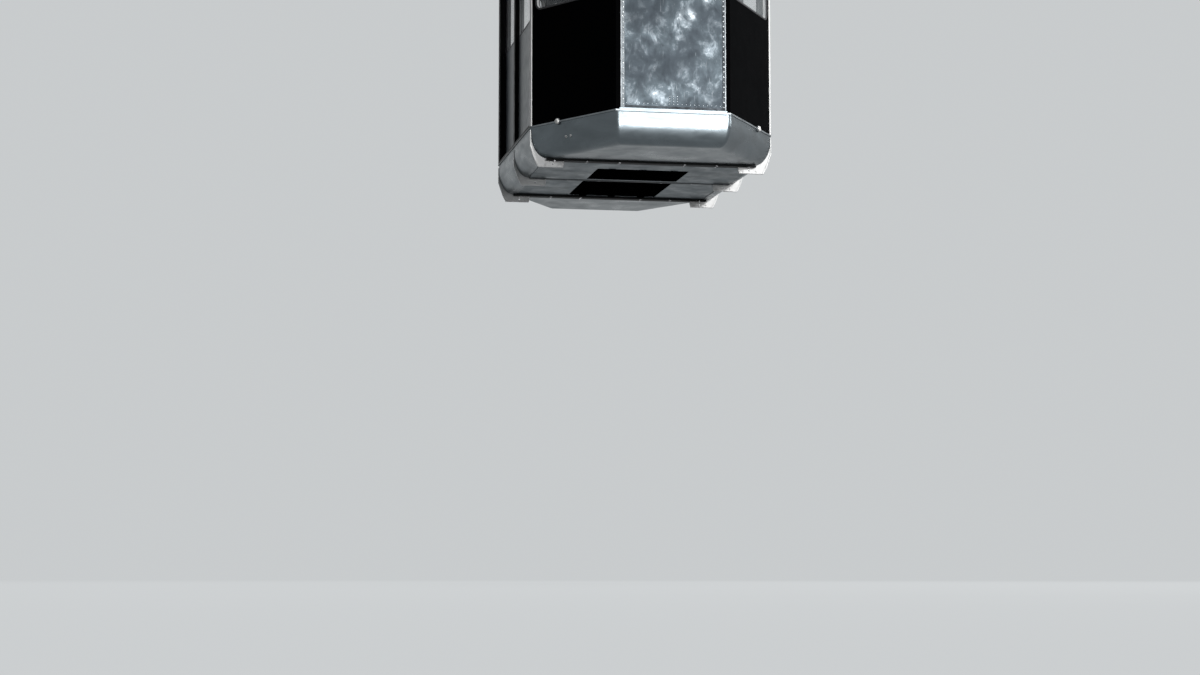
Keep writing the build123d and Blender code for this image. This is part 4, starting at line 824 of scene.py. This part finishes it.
for x in (-POLE_X, POLE_X):
    for y in (-POLE_Y, POLE_Y):
        for z, way in ((BELT, UP), (WALL_TOP, DOWN)):
            flanges.ring((x, y, z), way, COLLAR, 32)
for x in (-LAMP_X, LAMP_X):
    for piece, reach, z, section in ((shades, 0.62, WALL_TOP - 0.010, LAMP_SHADE),
                                     (frames, 0.634, WALL_TOP, LAMP_FRAME)):
        piece.sweep([Vector((x, y, z)) for y in (-reach, reach)], section, False, UP)
hand.make("handrails", POLE_STEEL, "interior_steel")
flanges.make("pole_flanges", POLE_STEEL, "interior_steel")
shades.make("lamp_shades", LAMP, "lamp_white")
frames.make("lamp_frames", POLE_STEEL, "interior_steel")

# Pans and skirt bottoms: rivet rows on the lips and along the beams
LIP_X, LIP_PITCH, BEAM_ROW_X, BEAM_ROW_Y = 0.985, 0.085, 0.90, HALF_STRAIGHT + 0.066
pan_rivets = Piece()
for sx in (-1, 1):
    for near, far, z in ((-0.95, -0.05, PAN_LOW), (0.08, 0.95, SKIRT_LOW)):
        rivet_row(pan_rivets, (sx * LIP_X, near, z), (sx * LIP_X, far, z), DOWN, LIP_PITCH)
    y = sx * BEAM_ROW_Y
    rivet_row(pan_rivets, (-BEAM_ROW_X, y, SKIRT_LOW), (BEAM_ROW_X, y, SKIRT_LOW), DOWN, LIP_PITCH)
pan_rivets.make("pan_rivets", PAN_GREY, "pan_grey")

# Guide brackets: two bolts and a weld bead on each face of the webs
BRACKET_WEB, WELD_SPAN, WELD_RADIUS = 0.012, (0.845, 0.995), 0.004
BRACKET_BOLTS = ((1.010, -0.345), (0.885, -0.350))
bracket_metal = Piece()
for turn in (1, -1):
    for beam_y in (-HALF_STRAIGHT, 0.0, HALF_STRAIGHT):
        for way in (1, -1):
            face_y = beam_y + way * BRACKET_WEB / 2
            for x, z in BRACKET_BOLTS:
                bolt(bracket_metal, (turn * x, face_y, BELT + z), Y_WAY * way, 0.0075, 0.006)
            weld = [Vector((turn * x, face_y, SKIRT_LOW - BEAM_FOOT)) for x in WELD_SPAN]
            bracket_metal.tube(weld, WELD_RADIUS, 8)
bracket_metal.make("bracket_bolts", WHITE_PAINT, "white_paint")

# Hanger foot: mount plates, bolts and welds round the struts' feet
MOUNT_RADIUS = 0.060
MOUNT_X, MOUNT_Y = high("rubber_mounts").x - MOUNT_RADIUS, high("rubber_mounts").y - MOUNT_RADIUS
MOUNT_PLATE = [(MOUNT_RADIUS + 0.0005, 0.0), (0.090, 0.0), (0.090, 0.007), (0.086, 0.009),
               (MOUNT_RADIUS + 0.0005, 0.009)]
STUD_X, STUD_Y = 0.030, 0.041
FOOT_TOP = high("rubber_mounts").z + 0.120
ARM_HALF, STRUT_RADIUS, STRUT_RISE, WEB_HALF = 0.090, 0.032, 0.620, 0.080
foot_metal = Piece()
for sx in (-1, 1):
    for sy in (-1, 1):
        at = Vector((sx * MOUNT_X, sy * MOUNT_Y, ROOF_TOP))
        foot_metal.ring(at, UP, MOUNT_PLATE, 40)
        for spot in around(6, 0.075, 30, X_WAY, Y_WAY):
            bolt(foot_metal, at + spot + UP * 0.009, UP, 0.0060, 0.006)
        for step in (-STUD_X, STUD_X):
            bolt(foot_metal, (sx * MOUNT_X + step, sy * (MOUNT_Y + STUD_Y), FOOT_TOP), UP, 0.009, 0.010)
        head = Vector((sx * ARM_HALF, sy * WEB_HALF, FOOT_TOP + STRUT_RISE))
        foot = Vector((sx * MOUNT_X, sy * MOUNT_Y, FOOT_TOP - STRUT_RADIUS))
        lean = (head - foot).normalized()
        first = lean.cross(Y_WAY).normalized()
        rim = [foot + spot for spot in around(28, STRUT_RADIUS, 0, first, lean.cross(first))]
        foot_metal.tube([at + lean * ((FOOT_TOP - at.z) / lean.z) for at in rim], 0.005, 8, True)
foot_metal.make("foot_bolts", HANGER_GREY, "hanger_paint")

# Hanger arm: rivet rows along its flanges, the cover over the shaft and the shaft's end plate
SHAFT_Z = centre_of("hanger_shaft").z
ARM_X = low("hanger_shaft").x
CRANK_TOP, CRANK_FOOT = Vector((ARM_X, 0, -0.900)), Vector((0, 0, -1.750))
CRANK_STEP = (CRANK_FOOT - CRANK_TOP).normalized() * 0.17
ARM_SPANS = ((Vector((ARM_X, 0, SHAFT_Z - 0.17)), CRANK_TOP + UP * 0.17),
             (CRANK_TOP + CRANK_STEP, CRANK_FOOT - CRANK_STEP))
ARM_ROW_Y, ARM_PITCH = 0.101, 0.075
SHAFT_COVER = [(0, -0.001), (0.112, -0.001), (0.112, 0.007), (0.108, 0.010), (0.060, 0.010), (0.052, 0.018),
               (0, 0.020)]
COVER_BOLTS, END_BOLTS = 0.092, 0.040
arm_metal = Piece()
for start, end in ARM_SPANS:
    across = (end - start).normalized().cross(Y_WAY)
    for side in (1, -1):
        for y in (-ARM_ROW_Y, ARM_ROW_Y):
            shift = across * (side * ARM_HALF) + Y_WAY * y
            rivet_row(arm_metal, start + shift, end + shift, across * side, ARM_PITCH, LARGE)
cover = Vector((low("hanger_arm").x, 0, SHAFT_Z))
arm_metal.lathe(SHAFT_COVER, pointing(cover, X_WAY * -1), 48)
shaft_end = Vector((high("hanger_shaft").x, 0, SHAFT_Z))
disc(arm_metal, shaft_end, X_WAY, (0.060, 0.006), (0.056, 0.008), 40)
for spot in around(8, COVER_BOLTS, 22.5):
    bolt(arm_metal, cover + spot - X_WAY * 0.010, X_WAY * -1, 0.010, 0.009)
for spot in around(4, END_BOLTS, 67.5):
    bolt(arm_metal, shaft_end + spot + X_WAY * 0.008, X_WAY, 0.008, 0.008)
arm_metal.make("arm_rivets", HANGER_GREY, "hanger_paint")

# Rollers: end plates, hub bolts and the lining of the rope grooves
ROPE_X, WEB_OUT = 0.245, 0.012
GROOVE_LEVEL, GROOVE_RADIUS, LINING = 0.175, 0.025, 0.0007
END_PLATE_TOP, END_PLATE_BOLTS, WEB_BOLTS = 0.005, 0.019, 0.090
for number in range(1, 9):
    centre, reach = centre_of(f"roller_axle_{number}"), half_size(f"roller_axle_{number}").x
    hub_bolts, linings = Piece(), Piece()
    for way in (1, -1):
        face = centre + X_WAY * (way * reach)
        disc(hub_bolts, face, X_WAY * way, (0.030, 0.0035), (0.027, END_PLATE_TOP), 28)
        for spot in around(3, END_PLATE_BOLTS):
            bolt(hub_bolts, face + spot + X_WAY * (way * END_PLATE_TOP), X_WAY * way, 0.0045, 0.004)
        web_face = Vector((way * (ROPE_X + WEB_OUT), centre.y, centre.z))
        for spot in around(6, WEB_BOLTS):
            bolt(hub_bolts, web_face + spot, X_WAY * way, 0.008, 0.008)
        section = []
        for radius, order in ((GROOVE_RADIUS - LINING, 1), (GROOVE_RADIUS + 0.0004, -1)):
            for k in range(11)[::order]:
                turn = math.radians(-165 + 15 * k)
                section.append((GROOVE_LEVEL + radius * math.sin(turn), radius * math.cos(turn)))
        linings.ring((way * ROPE_X, centre.y, centre.z), X_WAY, section, 56)
    hub_bolts.make(f"hub_bolts_{number}", SHAFT_STEEL, "shaft_steel", f"axle_{number}")
    linings.make(f"groove_lining_{number}", RUBBER, "black_rubber", f"axle_{number}")

# Pins: a keeper plate with two bolts and a grease nipple on each cap
KEEPER_DROP, KEEPER_THICK, KEEPER_BOLT, NIPPLE_RISE = 0.016, 0.005, 0.022, 0.012
NIPPLE = [(0, -0.001), (0.0055, -0.001), (0.0055, 0.004), (0.0035, 0.005), (0.0035, 0.009), (0.0045, 0.011),
          (0, 0.013)]


def keeper(piece, at, way):
    plate = Vector(at) - UP * KEEPER_DROP
    piece.box(plate + way * (KEEPER_THICK / 2), (0.062, 0.014, KEEPER_THICK), Y_WAY, way)
    for step in (-KEEPER_BOLT, KEEPER_BOLT):
        bolt(piece, plate + way * KEEPER_THICK + Y_WAY * step, way, 0.0050, 0.005)
    piece.lathe(NIPPLE, pointing(Vector(at) + UP * NIPPLE_RISE, way), 10)


PIN_Y, CRADLE_Y = centre_of("rocker_rear").y, centre_of("cradle_4").y
CRADLE_PIN_Z, ROCKER_PIN_Z = 0.269, 0.399
beam_keepers = Piece()
for sy, name in ((-1, "rocker_front"), (1, "rocker_rear")):
    rocker_keepers = Piece()
    for way in (1, -1):
        for y in (2 * PIN_Y - CRADLE_Y, CRADLE_Y):
            keeper(rocker_keepers, (way * high(name).x, sy * y, CRADLE_PIN_Z), X_WAY * way)
        keeper(beam_keepers, (way * high("main_beam").x, sy * PIN_Y, ROCKER_PIN_Z), X_WAY * way)
    rocker_keepers.make(f"{name}_keepers", STEEL, "roller_steel", name, bevel=0.0006)
beam_keepers.make("pin_keepers", STEEL, "roller_steel", "carriage", bevel=0.0006)

# Main beam and haul bracket: welds round the bearing tube, bolts and clamp bands
TUBE_RADIUS, BEAM_OUTER, BEAM_INSIDE = 0.110, 0.096, 0.080
TUBE_WELD = [(TUBE_RADIUS, -0.001), (TUBE_RADIUS + 0.007, -0.001), (TUBE_RADIUS + 0.005, 0.004),
             (TUBE_RADIUS, 0.007)]
CLAMP_BAND = [(0.0418, -0.009), (0.0450, -0.009), (0.0460, -0.007), (0.0460, 0.007), (0.0450, 0.009),
              (0.0418, 0.009)]
SOCKET_Z, BAND_SPOTS = -0.070, (0.100, 0.160)
HAUL_BOLT_Y, HAUL_BOLT_ROWS = 0.050, (-0.070, 0.040, 0.150, 0.260, 0.360)
carriage_welds, haul_metal = Piece(), Piece()
for way in (1, -1):
    for face, side in ((BEAM_OUTER, way), (BEAM_INSIDE, -way)):
        carriage_welds.ring((way * face, 0, SHAFT_Z), X_WAY * side, TUBE_WELD, 48)
    for y in (-HAUL_BOLT_Y, HAUL_BOLT_Y):
        for z in HAUL_BOLT_ROWS:
            bolt(haul_metal, (way * high("haul_bracket").x, y, z), X_WAY * way, 0.010, 0.009)
    for y in BAND_SPOTS:
        haul_metal.ring((0, way * y, SOCKET_Z), Y_WAY, CLAMP_BAND, 32)
carriage_welds.make("beam_welds", CARRIAGE_GREY, "carriage_paint", "carriage")
haul_metal.make("haul_bolts", STEEL, "roller_steel", "carriage")

# Floor, backdrop, lights and camera
PALE = (0.58, 0.60, 0.61)
REACH = 4000.0
floor_mesh = bpy.data.meshes.new("floor")
floor_corners = [(x * REACH, y * REACH, FLOOR_Z) for x, y in ((-1, -1), (1, -1), (1, 1), (-1, 1))]
floor_mesh.from_pydata(floor_corners, [], [(0, 1, 2, 3)])
floor = placed("floor", floor_mesh)


def shown_ray(tree):
    """1 for camera, glossy and transmission rays, which show the background, and 0 for the rest."""
    path = tree.nodes.new("ShaderNodeLightPath")
    seen = path.outputs["Is Camera Ray"]
    for other in ("Is Glossy Ray", "Is Transmission Ray"):
        either = tree.nodes.new("ShaderNodeMath")
        either.operation = "MAXIMUM"
        tree.links.new(seen, either.inputs[0])
        tree.links.new(path.outputs[other], either.inputs[1])
        seen = either.outputs[0]
    return seen


WORLD_TINT, WORLD_STRENGTH = (0.86, 0.89, 0.92), 0.23
FLOOR_TINT = (0.05, 0.051, 0.052)
floor_shader = Shader("floor", FLOOR_TINT, 1.0, Specular_IOR_Level=0.0)
grain = floor_shader.noise(0.5, 3)
floor_tone = floor_shader.ramp(grain, (0.3, shade(FLOOR_TINT, 0.97)), (0.7, shade(FLOOR_TINT, 1.03)))
floor_shader.set("Base Color", floor_tone)
glow = tuple(pale - tint * light * WORLD_STRENGTH for pale, tint, light in zip(PALE, FLOOR_TINT, WORLD_TINT))
fill(floor_shader.main, Emission_Color=(*glow, 1))
floor_shader.set("Emission Strength", shown_ray(floor_shader.material.node_tree))
floor_mesh.materials.append(floor_shader.material)

world = bpy.data.worlds.new("world")
bpy.context.scene.world = world
world.use_nodes = True
tree = world.node_tree
tree.nodes.clear()
world_out = tree.nodes.new("ShaderNodeOutputWorld")
lighting, shown = (tree.nodes.new("ShaderNodeBackground") for _ in range(2))
fill(lighting, Color=(*WORLD_TINT, 1), Strength=WORLD_STRENGTH)
fill(shown, Color=(*PALE, 1))
mixed = tree.nodes.new("ShaderNodeMixShader")
tree.links.new(shown_ray(tree), mixed.inputs[0])
tree.links.new(lighting.outputs[0], mixed.inputs[1])
tree.links.new(shown.outputs[0], mixed.inputs[2])
tree.links.new(mixed.outputs[0], world_out.inputs[0])


def aimed(name, data, at, way):
    """New light or camera at a point, turned along a way."""
    item = placed(name, data)
    item.location = at
    item.rotation_mode = "QUATERNION"
    item.rotation_quaternion = way.to_track_quat("-Z", "Y")
    return item


def area_light(name, at, target, size, power, diffuse=True):
    data = bpy.data.lights.new(name, "AREA")
    data.shape = "RECTANGLE"
    data.size, data.size_y = size
    data.energy = power
    aimed(name, data, at, Vector(target) - Vector(at)).visible_diffuse = diffuse


NOSE_AT = (0, -HALF_LENGTH, BELT)
area_light("key", (3.35, -17.0, BELT - 0.6), (0, -HALF_LENGTH, BELT - 0.6), (3.8, 6.8), 2700, diffuse=False)
area_light("sun", (9.0, -17.5, BELT + 6.4), NOSE_AT, (2.6, 2.6), 2800)
area_light("right", (15.0, -2.0, BELT + 4.5), (0, 0, BELT + 1.0), (6, 6), 1200)
area_light("top", (2.0, -3.0, 9.0), (0, 0, BELT), (8, 8), 1050)
area_light("back", (5.0, 13.0, 7.5), (0, 0, BELT + 2.0), (7, 6), 1500)

camera_data = bpy.data.cameras.new("camera")
camera_data.lens = CAMERA_LENS
camera_data.sensor_width = 36.0
camera_data.clip_end = 10000
bpy.context.scene.camera = aimed("camera", camera_data, CAMERA_AT, CAMERA_WAY)
bpy.context.scene.view_settings.view_transform = "Standard"
